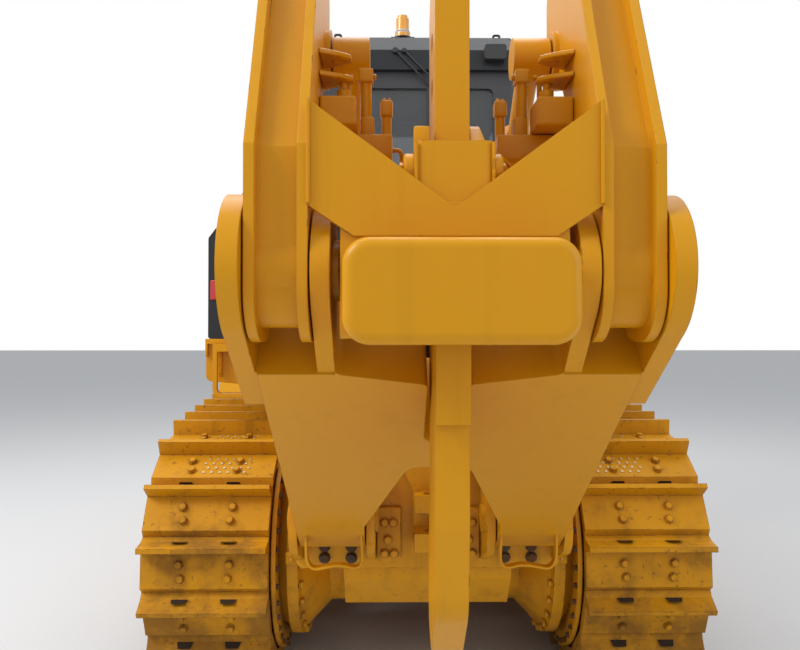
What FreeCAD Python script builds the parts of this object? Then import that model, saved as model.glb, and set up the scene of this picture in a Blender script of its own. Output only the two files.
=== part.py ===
import FreeCAD, Part
import math
import os

# Low-drive crawler bulldozer with a raised single-shank ripper.
# Millimetres. +Y is forward, +X is the machine's right, +Z is up, and the ground is Z = 0.
# Everything is drawn with the sprocket axle over Y = 0, and set at its place at the end.

os.makedirs("parts", exist_ok=True)
doc = FreeCAD.newDocument("bulldozer")
V = FreeCAD.Vector

# The driving dimensions: name, value, meaning.
SIZES = (
    ("track_gauge", 2140, "between the middles of the two tracks"),
    ("shoe_width", 610, "width of a track shoe"),
    ("track_pitch", 228.6, "wanted distance from track pin to track pin"),
    ("ground_length", 3150, "from the sprocket axle to the idler axle"),
    ("sprocket_pitch_radius", 496, "track pins on the sprocket"),
    ("idler_pitch_radius", 440, "track pins on the idler"),
    ("shoe_seat", 56, "from the pins out to the inside of the shoes"),
    ("shoe_thickness", 40, "shoe plate with the link heads under it"),
    ("shoe_groove", 30, "depth of the groove between two shoes"),
    ("shoe_gap", 8, "width of the groove between two shoes"),
    ("grouser_height", 78, "height of the bar on a shoe"),
    ("grouser_width", 24, "width of the bar at its tip"),
    ("grouser_foot", 42, "width of the bar at its foot"),
    ("rail_depth", 60, "from the pins in to the rolling face of the links"),
    ("rail_width", 45, "width of one rail of links"),
    ("rail_gap", 190, "clear width between the two rails"),
    ("link_gap", 44, "gap between two links on the rolling face"),
    ("carrier_radius", 110, "carrier roller"),
    ("carrier_ahead", 1000, "first carrier roller, ahead of the sprocket axle"),
    ("carrier_pin_height", 1250, "track pins over the first carrier roller"),
    ("second_carrier_ahead", 2120, "second carrier roller, ahead of the sprocket axle"),
    ("second_carrier_pin_height", 1170, "track pins over the second carrier roller"),
    ("roller_radius", 112, "bottom roller"),
    ("roller_count", 7, "bottom rollers of a track"),
    ("roller_first", 600, "first bottom roller, ahead of the sprocket axle"),
    ("roller_last", 2640, "last bottom roller, ahead of the sprocket axle"),
    ("sprocket_teeth", 27, "teeth of a sprocket"),
    ("sprocket_thickness", 86, "toothed rim of the sprocket"),
    ("tooth_height", 62, "height of a sprocket tooth"),
    ("run_gap", 0.3, "clearance of what runs or seats on another piece"),
    ("move_gap", 6, "clearance between pieces that move past each other"),
    ("case_width", 800, "rear case"),
    ("case_rear", 600, "rear case, behind the sprocket axle"),
    ("case_front", 760, "rear case, ahead of the sprocket axle"),
    ("case_bottom", 480, "underside of the rear case"),
    ("case_top", 1350, "top of the rear case"),
    ("drive_radius", 470, "flange of the final drive"),
    ("rail_inside", 260, "inner face of a frame rail"),
    ("rail_outside", 380, "outer face of a frame rail"),
    ("rail_bottom", 560, "underside of the frame rails"),
    ("rail_top", 900, "top of the frame rails"),
    ("frame_front", 3080, "front end of the frame rails"),
    ("frame_beam_width", 300, "width of a track frame"),
    ("frame_beam_bottom", 490, "underside of a track frame"),
    ("frame_beam_top", 800, "top of a track frame"),
    ("ripper_pin_behind", 790, "lower ripper pin, behind the sprocket axle"),
    ("ripper_pin_height", 980, "lower ripper pin, above the ground"),
    ("arm_reach", 1250, "beam pin behind the lower pin, as the ripper is parked"),
    ("arm_rise", 1015, "beam pin above the lower pin, as the ripper is parked"),
    ("tilt_ahead", 450, "tilt cylinder pins ahead of the arm's pins"),
    ("tilt_above", 790, "tilt cylinder pins above the arm's pins"),
    ("tilt_side", 315, "middle of a tilt cylinder from the middle of the machine"),
    ("tilt_eye_width", 128, "eye of a tilt cylinder"),
    ("lift_pin_behind", 480, "lift cylinder pin on the machine, behind the axle"),
    ("lift_pin_height", 1600, "lift cylinder pin on the machine, above the ground"),
    ("lift_side", 490, "middle of a lift cylinder from the middle of the machine"),
    ("lift_eye_width", 90, "eye of a lift cylinder"),
    ("lift_along", 1063, "lift cylinder pin along the arm from the lower pin"),
    ("lift_above", 300, "lift cylinder pin above the arm's middle line"),
    ("lift_barrel_radius", 78, "barrel of a lift cylinder"),
    ("tilt_barrel_radius", 58, "barrel of a tilt cylinder"),
    ("ripper_rod_radius", 40, "rods of the ripper cylinders"),
    ("cylinder_pin_radius", 38, "pins of the ripper cylinders"),
    ("arm_pin_radius", 62, "pins of the lower ripper arm"),
    ("jaw_pin_radius", 28, "pin hole of the drawbar jaw"),
    ("leg_inside", 290, "inner face of a leg of the arm"),
    ("leg_outside", 580, "outer face of a leg of the arm"),
    ("ear_thickness", 38, "ears of the ripper mount"),
    ("beam_inside", 405, "inner face of a beam arm"),
    ("beam_outside", 581, "outer face of a beam arm"),
    ("beam_plate", 30, "side plates of a beam arm"),
    ("shank_thickness", 100, "ripper shank"),
    ("shank_depth", 330, "ripper shank, front to rear"),
    ("cab_rear", 750, "rear wall of the cab, ahead of the axle"),
    ("cab_length", 1270, "cab, rear to front"),
    ("cab_half_width", 760, "cab at its doors, from the middle"),
    ("cab_rear_half_width", 640, "cab at its rear wall, from the middle"),
    ("cab_front_half_width", 560, "cab at its front wall, from the middle"),
    ("cab_corner_length", 270, "slanted corners of the cab, measured along the machine"),
    ("cab_floor", 1640, "underside of the cab"),
    ("cab_wall_top", 3540, "top of the cab walls"),
    ("cab_wall", 55, "thickness of the cab walls and doors"),
    ("cab_top", 3780, "top of the cab roof"),
    ("tank_rear", 40, "rear face of the tank, behind the axle"),
    ("tank_length", 640, "tank, rear to front"),
    ("tank_half_width", 1180, "tank, from the middle"),
    ("tank_bottom", 1790, "underside of the tank's wings"),
    ("tank_shoulder", 2345, "outer edge where the tank starts to slant"),
    ("tank_top", 2610, "top of the tank"),
    ("hood_rear", 2060, "rear end of the hood"),
    ("hood_front", 3080, "front end of the hood"),
    ("hood_half_width", 500, "hood, from the middle"),
    ("hood_bottom", 960, "lower edge of the hood"),
    ("hood_top", 2330, "top of the hood"),
    ("hood_wall", 14, "thickness of the hood's sheets"),
    ("guard_front", 3350, "front face of the radiator guard"),
    ("guard_half_width", 560, "radiator guard, from the middle"),
    ("guard_bottom", 560, "lower edge of the radiator guard"),
    ("guard_top", 2390, "top of the radiator guard"),
    ("guard_wall", 45, "thickness of the radiator guard"),
    ("trunnion_ahead", 1300, "push arm trunnion, ahead of the axle"),
    ("trunnion_height", 600, "push arm trunnion, above the ground"),
    ("push_arm_gap", 38, "between the shoes and a push arm"),
    ("push_arm_width", 150, "push arm, across"),
    ("push_arm_height", 210, "push arm, upright"),
    ("blade_back", 3960, "back of the blade, ahead of the axle"),
    ("blade_centre_width", 2700, "straight middle of the blade"),
    ("blade_width", 4130, "blade over its wings"),
    ("blade_wing_lead", 330, "how far the wing tips lead the middle"),
    ("blade_height", 1560, "top of the blade above the ground"),
    ("blade_clearance", 6, "cutting edge above the ground"),
    ("blade_plate", 26, "thickness of the blade's face"),
    ("blade_curve_depth", 190, "hollow of the blade's face"),
    ("blade_cylinder_side", 660, "blade cylinder from the middle"),
    ("blade_cylinder_ahead", 3240, "blade cylinder trunnion, ahead of the axle"),
    ("blade_cylinder_height", 2000, "blade cylinder trunnion, above the ground"),
    ("blade_eye_ahead", 3710, "blade cylinder's rod eye, ahead of the axle"),
    ("blade_eye_height", 600, "blade cylinder's rod eye, above the ground"),
    ("blade_barrel_radius", 66, "barrel of a blade cylinder"),
    ("blade_rod_radius", 37, "rod of a blade cylinder"),
)
sheet = doc.addObject("Spreadsheet::Sheet", "Sizes")
for row, (alias, value, meaning) in enumerate(SIZES, start=1):
    sheet.set(f"A{row}", meaning)
    sheet.set(f"B{row}", str(value))
    sheet.setAlias(f"B{row}", alias)
doc.recompute()


class Size:
    """Reads a driving dimension from the sheet by its name."""

    def __getattr__(self, alias):
        return float(sheet.get(alias))


S = Size()
NODES = {}


def new_body(name):
    body = doc.addObject("PartDesign::Body", name)
    body.Label = name
    body.AllowCompound = True
    return body


def origin_plane(body, role):
    return next(plane for plane in body.Origin.OriginFeatures if plane.Role == role)


def rounded_loop(points):
    """Edges of a closed outline. A point (u, v) is a sharp corner, (u, v, r) a rounded one."""
    count = len(points)
    corners = []
    for index, point in enumerate(points):
        here = V(point[0], point[1], 0)
        radius = point[2] if len(point) > 2 else 0
        if radius <= 0:
            corners.append((here, here, None))
            continue
        before = V(*points[index - 1][:2], 0) - here
        after = V(*points[(index + 1) % count][:2], 0) - here
        half_angle = before.getAngle(after) / 2
        setback = radius / math.tan(half_angle)
        first = here + before.normalize() * setback
        last = here + after.normalize() * setback
        inward = (before + after).normalize()
        centre = here + inward * (radius / math.sin(half_angle))
        corners.append((first, last, centre - inward * radius))
    edges = []
    for index, (first, last, middle) in enumerate(corners):
        if middle is not None:
            edges.append(Part.Arc(first, middle, last))
        following = corners[(index + 1) % count][0]
        if last.distanceToPoint(following) > 1e-6:
            edges.append(Part.LineSegment(last, following))
    return edges


def circle(u, v, radius):
    return [Part.Circle(V(u, v, 0), V(0, 0, 1), radius)]


def box(u_low, u_high, v_low, v_high, radius=0):
    """A rectangle, with rounded corners where a radius is given."""
    return rounded_loop([
        (u_low, v_low, radius), (u_high, v_low, radius),
        (u_high, v_high, radius), (u_low, v_high, radius),
    ])


def sketch_on(body, role, loops, low):
    """A sketch on one of the body's own planes, moved along the plane's normal to low."""
    sketch = body.newObject("Sketcher::SketchObject", body.Name + "_sketch")
    sketch.AttachmentSupport = (origin_plane(body, role), [""])
    sketch.MapMode = "FlatFace"
    if isinstance(low, str):
        sketch.setExpression(".AttachmentOffset.Base.z", low)
    else:
        sketch.AttachmentOffset = FreeCAD.Placement(V(0, 0, low), FreeCAD.Rotation())
    for loop in loops:
        sketch.addGeometry(loop, False)
    return sketch


def set_length(feature, length):
    if isinstance(length, str):
        feature.setExpression("Length", length)
    else:
        feature.Length = length


def pad(body, role, loops, low, length):
    """Adds a slab of the outline, from low over length along the plane's normal."""
    feature = body.newObject("PartDesign::Pad", body.Name + "_pad")
    feature.Profile = sketch_on(body, role, loops, low)
    set_length(feature, length)
    body.Tip = feature
    return feature


def pocket(body, role, loops, low, length):
    """Cuts a slab of the outline, from low over length along the plane's normal."""
    sketch = sketch_on(body, role, loops, low)
    feature = body.newObject("PartDesign::Pocket", body.Name + "_pocket")
    feature.Profile = sketch
    feature.Reversed = True
    set_length(feature, length)
    body.Tip = feature
    return feature


def turned(name, outline, centre_y, centre_z):
    """A body turned about an axle along X. The outline's points are (x, radius)."""
    body = new_body(name)
    sketch = sketch_on(body, "XZ_Plane", [rounded_loop(outline)], 0)
    sketch.AttachmentOffset = FreeCAD.Placement(V(0, centre_z, -centre_y), FreeCAD.Rotation())
    feature = body.newObject("PartDesign::Revolution", name + "_turned")
    feature.Profile = sketch
    feature.ReferenceAxis = (sketch, ["H_Axis"])
    feature.Angle = 360
    body.Tip = feature
    return body


def keep(name, thing):
    """Names a finished sub-part."""
    thing.Label = name
    NODES[name] = thing
    return thing


def mirrored(source, name):
    """The same piece on the other side of the machine."""
    copy = doc.addObject("Part::Mirroring", name)
    copy.Source = source
    copy.Normal = V(1, 0, 0)
    return copy


def both_sides(source, name):
    """One node that holds the piece and its mirror image."""
    pair = doc.addObject("Part::MultiFuse", name)
    pair.Shapes = [source, mirrored(source, name + "_other_side")]
    return keep(name, pair)


def fused(name, shapes):
    whole = doc.addObject("Part::MultiFuse", name)
    whole.Shapes = shapes
    return whole


def cut(name, base, tool):
    result = doc.addObject("Part::Cut", name)
    result.Base = base
    result.Tool = tool
    return result


def common(name, first, second):
    result = doc.addObject("Part::Common", name)
    result.Base = first
    result.Tool = second
    return result


def tube(name, start, end, radius):
    """A plain round bar from one point to another."""
    bar = doc.addObject("Part::Cylinder", name)
    run = end - start
    bar.Radius = radius
    bar.Height = run.Length
    bar.Placement = FreeCAD.Placement(start, FreeCAD.Rotation(V(0, 0, 1), run))
    return bar


def slab(name, low, high):
    """A plain box between two corners."""
    block = doc.addObject("Part::Box", name)
    block.Length = high.x - low.x
    block.Width = high.y - low.y
    block.Height = high.z - low.z
    block.Placement.Base = low
    return block


def bent_tube(name, points, radius, bend):
    """A round tube that follows straight runs with arcs of one radius at the corners."""
    edges = []
    last = points[0]
    for before, here, after in zip(points, points[1:], points[2:]):
        back = (before - here).normalize()
        ahead = (after - here).normalize()
        half_angle = back.getAngle(ahead) / 2
        setback = bend / math.tan(half_angle)
        first = here + back * setback
        final = here + ahead * setback
        inward = (back + ahead).normalize()
        middle = here + inward * (bend / math.sin(half_angle) - bend)
        edges.append(Part.LineSegment(last, first).toShape())
        edges.append(Part.Arc(first, middle, final).toShape())
        last = final
    edges.append(Part.LineSegment(last, points[-1]).toShape())
    path = Part.Wire(edges)
    start_direction = points[1] - points[0]
    ring = Part.Wire(Part.makeCircle(radius, points[0], start_direction))
    piece = doc.addObject("Part::Feature", name)
    piece.Shape = path.makePipeShell([ring], True, False)
    return piece


# TRACKS
# A track is one closed loop. Its pins lie on a belt round the sprocket, carriers and idler.

PINS_TO_GROUND = S.shoe_seat + S.shoe_thickness + S.grouser_height
SPROCKET_Z = PINS_TO_GROUND + S.sprocket_pitch_radius
IDLER_Z = PINS_TO_GROUND + S.idler_pitch_radius
CARRIER_BELT = S.carrier_radius + S.rail_depth + S.run_gap
CARRIER_Z = S.carrier_pin_height - CARRIER_BELT
SECOND_CARRIER_Z = S.second_carrier_pin_height - CARRIER_BELT
CARRIER_DROP = 7
TRACK_MIDDLE = S.track_gauge / 2
SHOE_INSIDE = TRACK_MIDDLE - S.shoe_width / 2
SHOE_OUTSIDE = TRACK_MIDDLE + S.shoe_width / 2

# Wheels that the belt passes, in order: forward along the top and back along the ground.
BELT_WHEELS = (
    (V(0, SPROCKET_Z, 0), S.sprocket_pitch_radius),
    (V(S.carrier_ahead, CARRIER_Z, 0), CARRIER_BELT),
    (V(S.second_carrier_ahead, SECOND_CARRIER_Z, 0), CARRIER_BELT),
    (V(S.ground_length, IDLER_Z, 0), S.idler_pitch_radius),
)


def belt_normals():
    """Outward normal of each straight run, from one wheel to the next."""
    normals = []
    for index, (centre, radius) in enumerate(BELT_WHEELS):
        next_centre, next_radius = BELT_WHEELS[(index + 1) % len(BELT_WHEELS)]
        run = next_centre - centre
        along = V(run.x, run.y, 0).normalize()
        outward = V(-along.y, along.x, 0)
        lean = (radius - next_radius) / run.Length
        normals.append(along * lean + outward * math.sqrt(1 - lean * lean))
    return normals


def belt_pins():
    """The places of the track pins, evenly spaced along the belt."""
    normals = belt_normals()
    pieces = []
    for index, (centre, radius) in enumerate(BELT_WHEELS):
        entering = normals[index - 1]
        leaving = normals[index]
        turn = entering.getAngle(leaving)
        start = math.atan2(entering.y, entering.x)
        pieces.append((radius * turn, centre, radius, start, turn))
        next_centre, next_radius = BELT_WHEELS[(index + 1) % len(BELT_WHEELS)]
        first = centre + leaving * radius
        last = next_centre + leaving * next_radius
        pieces.append(((last - first).Length, first, None, last, None))
    total = sum(piece[0] for piece in pieces)
    count = round(total / S.track_pitch)
    pins = []
    for number in range(count):
        rest = total * number / count
        for length, start_point, radius, other, turn in pieces:
            if rest <= length:
                break
            rest -= length
        if radius is None:
            pins.append(start_point + (other - start_point) * (rest / length))
        else:
            angle = other - rest / radius
            pins.append(start_point + V(math.cos(angle), math.sin(angle), 0) * radius)
    return pins


def link_frames():
    """Middle, direction, outward normal and half length of each link."""
    pins = belt_pins()
    frames = []
    for first, last in zip(pins, pins[1:] + pins[:1]):
        run = last - first
        along = V(run.x, run.y, 0).normalize()
        frames.append(((first + last) / 2, along, V(-along.y, along.x, 0), run.Length / 2))
    return frames


def pin_offsets(offset):
    """One point for each pin, moved outward between its two links."""
    frames = link_frames()
    points = []
    for before, after in zip(frames[-1:] + frames[:-1], frames):
        outward = (before[2] + after[2]).normalize()
        stretch = offset / outward.dot(after[2])
        pin = after[0] - after[1] * after[3]
        points.append(pin + outward * stretch)
    return points


def polygon(points):
    return [Part.LineSegment(first, last) for first, last in zip(points, points[1:] + points[:1])]


def shoe_outline():
    """Outer outline of the shoes: plates with one bar each and a groove between them."""
    plate = S.shoe_seat + S.shoe_thickness
    tip = plate + S.grouser_height
    grooves = pin_offsets(plate - S.shoe_groove)
    points = []
    for groove, (middle, along, outward, half) in zip(grooves, link_frames()):
        end = half - S.shoe_gap / 2
        slant = (S.grouser_foot - S.grouser_width) / 2
        shape = (
            (-end, plate),
            (end - S.grouser_foot - S.shoe_gap, plate),
            (end - S.grouser_foot + slant - S.shoe_gap, tip),
            (end - slant - S.shoe_gap, tip),
            (end, plate),
        )
        points.append(groove)
        points.extend(middle + along * u + outward * v for u, v in shape)
    return polygon(points)


def rail_outline():
    """Inner outline of the links: the face that rolls on the wheels."""
    points = []
    for middle, along, outward, half in link_frames():
        flat = half - S.link_gap / 2
        points.append(middle - along * flat - outward * S.rail_depth)
        points.append(middle + along * flat - outward * S.rail_depth)
    return polygon(points)


def make_tracks():
    body = new_body("track_loop")
    shoe_hole = polygon(pin_offsets(S.shoe_seat))
    pad(body, "YZ_Plane", [shoe_outline(), shoe_hole],
        "Sizes.track_gauge / 2 - Sizes.shoe_width / 2", "Sizes.shoe_width")
    rail_top = polygon(pin_offsets(S.shoe_seat + 4))
    for low in ("Sizes.track_gauge / 2 - Sizes.rail_gap / 2 - Sizes.rail_width",
                "Sizes.track_gauge / 2 + Sizes.rail_gap / 2"):
        pad(body, "YZ_Plane", [rail_top, rail_outline()], low, "Sizes.rail_width")
    keep("track_right", body)
    keep("track_left", mirrored(body, "track_left"))


make_tracks()


# WHEELS OF THE TRACKS

def pin_angle_on_sprocket():
    """Direction from the sprocket axle to the track pin that lies nearest to straight behind."""
    pins = [pin - V(0, SPROCKET_Z, 0) for pin in belt_pins()]
    rear = min(pins, key=lambda pin: pin.x)
    return math.atan2(rear.y, rear.x)


def sprocket_outline():
    """Teeth that stand between the track pins."""
    root = S.sprocket_pitch_radius - S.tooth_height / 2 - 5
    tip = root + S.tooth_height
    step = 2 * math.pi / S.sprocket_teeth
    first = pin_angle_on_sprocket() + step / 2
    points = []
    for tooth in range(int(S.sprocket_teeth)):
        middle = first + tooth * step
        for share, radius in ((-0.32, root), (-0.12, tip), (0.12, tip), (0.32, root)):
            angle = middle + share * step
            points.append(V(radius * math.cos(angle), SPROCKET_Z + radius * math.sin(angle), 0))
    return polygon(points)


def make_sprockets():
    body = new_body("sprocket")
    rim_low = TRACK_MIDDLE - S.sprocket_thickness / 2
    pad(body, "YZ_Plane", [sprocket_outline()], rim_low, "Sizes.sprocket_thickness")
    hub = turned("sprocket_hub", [
        (FINAL_DRIVE_END + S.run_gap, 0), (FINAL_DRIVE_END + S.run_gap, 230),
        (TRACK_MIDDLE - 60, 230), (TRACK_MIDDLE + 60, 215), (TRACK_MIDDLE + 90, 215),
        (TRACK_MIDDLE + 250, 150, 30), (TRACK_MIDDLE + 250, 0),
    ], 0, SPROCKET_Z)
    both_sides(fused("sprocket_right", [body, hub]), "sprockets")


FINAL_DRIVE_END = TRACK_MIDDLE - S.rail_gap / 2 - S.rail_width - 10


def make_final_drives():
    case_side = S.case_width / 2
    flange = S.drive_radius
    cone = turned("final_drive_cone", [
        (case_side, 0), (case_side, 300), (case_side + 90, 300), (case_side + 120, 330, 20),
        (case_side + 225, flange - 30), (case_side + 235, flange), (case_side + 290, flange),
        (case_side + 290, flange - 25), (SHOE_INSIDE - 30, flange - 60), (SHOE_INSIDE - 30, flange + 70),
        (SHOE_INSIDE - 8, flange + 70), (SHOE_INSIDE - 8, flange - 60),
        (FINAL_DRIVE_END, flange - 100), (FINAL_DRIVE_END, 0),
    ], 0, SPROCKET_Z)
    both_sides(cone, "final_drives")


def make_idlers():
    half_link = link_frames()[0][3]
    rim = math.sqrt(S.idler_pitch_radius ** 2 - half_link ** 2) - S.rail_depth - S.run_gap
    half = S.rail_gap / 2
    idler = turned("idler", [
        (TRACK_MIDDLE - 165, 0), (TRACK_MIDDLE - 165, 110), (TRACK_MIDDLE - 60, 130),
        (TRACK_MIDDLE - 60, rim - 70), (TRACK_MIDDLE - half - S.rail_width - 8, rim - 40),
        (TRACK_MIDDLE - half - S.rail_width - 8, rim), (TRACK_MIDDLE - half + 3, rim),
        (TRACK_MIDDLE - half + 10, rim + 22), (TRACK_MIDDLE + half - 10, rim + 22),
        (TRACK_MIDDLE + half - 3, rim), (TRACK_MIDDLE + half + S.rail_width + 8, rim),
        (TRACK_MIDDLE + half + S.rail_width + 8, rim - 40), (TRACK_MIDDLE + 60, rim - 70),
        (TRACK_MIDDLE + 60, 130), (TRACK_MIDDLE + 165, 110), (TRACK_MIDDLE + 165, 0),
    ], S.ground_length, IDLER_Z)
    both_sides(idler, "idlers")


def roller_outline(radius, end_low, end_high, shaft):
    """Half section of a roller drum on its shaft."""
    tread = S.rail_gap / 2 + S.rail_width + 6
    return [
        (end_low, 0), (end_low, shaft), (TRACK_MIDDLE - tread, shaft),
        (TRACK_MIDDLE - tread, radius), (TRACK_MIDDLE + tread, radius),
        (TRACK_MIDDLE + tread, shaft), (end_high, shaft), (end_high, 0),
    ]


BALL_RADIUS = 70
ROLLER_Z = PINS_TO_GROUND + S.rail_depth + S.run_gap + S.roller_radius
GUARD_IN = 175
GUARD_WALL = 25


def roller_places():
    count = int(S.roller_count)
    step = (S.roller_last - S.roller_first) / (count - 1)
    return [S.roller_first + number * step for number in range(count)]


def make_rollers():
    wheels = []
    reach = GUARD_IN - S.run_gap
    for number, ahead in enumerate(roller_places()):
        outline = roller_outline(S.roller_radius, TRACK_MIDDLE - reach, TRACK_MIDDLE + reach, 45)
        wheels.append(turned(f"roller_{number}", outline, ahead, ROLLER_Z))
    bracket = TRACK_MIDDLE - S.frame_beam_width / 2 + S.run_gap
    half = S.rail_gap / 2
    for number, (ahead, height) in enumerate((
            (S.carrier_ahead, CARRIER_Z - CARRIER_DROP),
            (S.second_carrier_ahead, SECOND_CARRIER_Z - CARRIER_DROP))):
        outline = roller_outline(S.carrier_radius, bracket, TRACK_MIDDLE + half + S.rail_width + 16, 40)
        wheels.append(turned(f"carrier_{number}", outline, ahead, height))
    both_sides(fused("rollers_right", wheels), "track_rollers")


def make_track_frames():
    low = TRACK_MIDDLE - S.frame_beam_width / 2
    body = new_body("track_frame")
    rear = S.roller_first + 60
    idler_clear = S.ground_length - S.idler_pitch_radius - 90
    pad(body, "YZ_Plane", [rounded_loop([
        (rear, S.frame_beam_bottom), (idler_clear, S.frame_beam_bottom),
        (idler_clear, S.frame_beam_top - 110), (idler_clear - 320, S.frame_beam_top, 60),
        (rear + 160, S.frame_beam_top, 60), (rear, S.frame_beam_top - 160),
    ])], low, "Sizes.frame_beam_width")
    guard = rounded_loop([
        (S.roller_first - 130, ROLLER_Z - 40, 20), (S.roller_last + 130, ROLLER_Z - 40, 20),
        (S.roller_last + 130, S.frame_beam_bottom + 60, 20), (S.roller_first - 130, S.frame_beam_bottom + 60, 20),
    ])
    for side_low in (TRACK_MIDDLE - GUARD_IN - GUARD_WALL, TRACK_MIDDLE + GUARD_IN):
        pad(body, "YZ_Plane", [guard], side_low, GUARD_WALL)
    yoke = rounded_loop([
        (idler_clear - 260, IDLER_Z - 85, 20), (S.ground_length + 130, IDLER_Z - 75, 50),
        (S.ground_length + 130, IDLER_Z + 75, 50), (idler_clear - 260, IDLER_Z + 95, 20),
    ])
    for side_low in (TRACK_MIDDLE - GUARD_IN - 35, TRACK_MIDDLE + GUARD_IN - S.run_gap):
        pad(body, "YZ_Plane", [yoke], side_low + S.run_gap / 2, 35)
    pad(body, "YZ_Plane", [box(idler_clear - 200, idler_clear, S.frame_beam_bottom, IDLER_Z + 60)],
        TRACK_MIDDLE - GUARD_IN - 30, 2 * GUARD_IN + 60)
    pad(body, "YZ_Plane", [box(rear + 20, rear + 260, S.frame_beam_bottom, S.frame_beam_bottom + 50)],
        TRACK_MIDDLE - GUARD_IN - GUARD_WALL, 2 * (GUARD_IN + GUARD_WALL))
    for ahead, height in ((S.carrier_ahead, CARRIER_Z), (S.second_carrier_ahead, SECOND_CARRIER_Z)):
        pad(body, "YZ_Plane", [rounded_loop([
            (ahead - 110, S.frame_beam_top - 120), (ahead + 110, S.frame_beam_top - 120),
            (ahead + 55, height + 55, 40), (ahead - 55, height + 55, 40),
        ])], low - 45, 45)
    # the ball seat of the push arm, outside the shoes
    ball_end = SHOE_OUTSIDE + S.push_arm_gap + S.push_arm_width + 6
    seat = turned("push_arm_ball", [
        (low + S.frame_beam_width - 5, 0), (low + S.frame_beam_width - 5, 108),
        (low + S.frame_beam_width + 60, 100), (SHOE_OUTSIDE + 8, 95), (SHOE_OUTSIDE + 28, 95),
        (SHOE_OUTSIDE + 28, BALL_RADIUS), (ball_end, BALL_RADIUS, 8), (ball_end, 0),
    ], S.trunnion_ahead, S.trunnion_height)
    both_sides(fused("track_frame_right", [body, seat]), "track_frames")


def make_cross_members():
    """Pivot shafts behind and the equalizer bar in front, between main frame and track frames."""
    inner = TRACK_MIDDLE - S.frame_beam_width / 2
    ahead = S.roller_first + 180
    shaft = turned("pivot_shaft", [
        (S.case_width / 2, 0), (S.case_width / 2, 125), (S.case_width / 2 + 40, 125),
        (S.case_width / 2 + 60, 85), (inner - S.run_gap, 85), (inner - S.run_gap, 0),
    ], ahead, 640)
    bar_end = TRACK_MIDDLE - GUARD_IN - 35 - S.run_gap / 2
    bar = slab("equalizer_bar",
               V(-bar_end, 2360, S.rail_bottom - 150), V(bar_end, 2500, S.rail_bottom - 20 - S.run_gap))
    right = shaft
    left = mirrored(shaft, "pivot_shaft_left")
    keep("pivot_shaft_and_equalizer", fused("cross_members", [right, left, bar]))


# MAIN FRAME AND ENGINE

def make_main_frame():
    body = new_body("main_frame")
    pad(body, "YZ_Plane", [rounded_loop([
        (-S.case_rear, S.case_bottom + 170, 60), (-S.case_rear + 150, S.case_bottom, 40),
        (S.case_front, S.case_bottom), (S.case_front, S.case_top - 250, 60),
        (S.case_front - 250, S.case_top, 60), (-S.case_rear, S.case_top, 30),
    ])], "-Sizes.case_width / 2", "Sizes.case_width")
    rails = [box(side_low, side_low + S.rail_outside - S.rail_inside, S.case_front - 20, S.frame_front)
             for side_low in (S.rail_inside, -S.rail_outside)]
    pad(body, "XY_Plane", rails, "Sizes.rail_bottom", "Sizes.rail_top - Sizes.rail_bottom")
    pad(body, "XY_Plane", [box(-S.rail_inside - 10, S.rail_inside + 10, S.frame_front - 120, S.frame_front)],
        "Sizes.rail_bottom", "Sizes.rail_top - Sizes.rail_bottom")
    # belly plates, open where the equalizer bar passes
    plates = [box(-S.rail_outside, S.rail_outside, low, high, 0)
              for low, high in ((S.case_front - 20, 2340), (2520, S.frame_front))]
    pad(body, "XY_Plane", plates, "Sizes.rail_bottom - 20", 20.5)
    keep("main_frame", body)


def make_engine():
    block = slab("engine", V(-290, 2110, S.rail_top), V(290, S.hood_front - 90, 1760))
    keep("engine_block", block)


for make in (make_final_drives, make_sprockets, make_idlers, make_rollers, make_track_frames,
             make_cross_members, make_main_frame, make_engine):
    make()


# RIPPER
# The lower arm is drawn along its own middle line, and then turned to its parked angle.

ARM_PIN = V(0, -S.ripper_pin_behind, S.ripper_pin_height)
ARM_LENGTH = math.hypot(S.arm_reach, S.arm_rise)
ALONG_ARM = V(0, -S.arm_reach / ARM_LENGTH, S.arm_rise / ARM_LENGTH)
OVER_ARM = V(0, S.arm_rise / ARM_LENGTH, S.arm_reach / ARM_LENGTH)
ARM_TURN = 180 - math.degrees(math.atan2(S.arm_rise, S.arm_reach))
BEAM_PIN = ARM_PIN + ALONG_ARM * ARM_LENGTH
TILT_PIN = ARM_PIN + V(0, S.tilt_ahead, S.tilt_above)
BEAM_TILT_PIN = BEAM_PIN + V(0, S.tilt_ahead, S.tilt_above)
LIFT_PIN = V(0, -S.lift_pin_behind, S.lift_pin_height)
ARM_LIFT_PIN = ARM_PIN + ALONG_ARM * S.lift_along + OVER_ARM * S.lift_above
EYE_RADIUS = 72
HUB_RADIUS = 222
BEAM_PIN_RADIUS = 70
ARM_ROOT_RADIUS = 118
ARM_EAR = 60
INNER_EAR_RADIUS = 172


JAW_BOTTOM = 830
JAW_TOP = 1085
JAW_GAP = (915, 1005)
JAW_PIN_BEHIND = 165


def ear_pair(middle, width):
    """Low faces of two ears that stand a moving gap beside an eye of this width."""
    near = width / 2 + S.move_gap
    return (middle - near - S.ear_thickness, middle + near)


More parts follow.
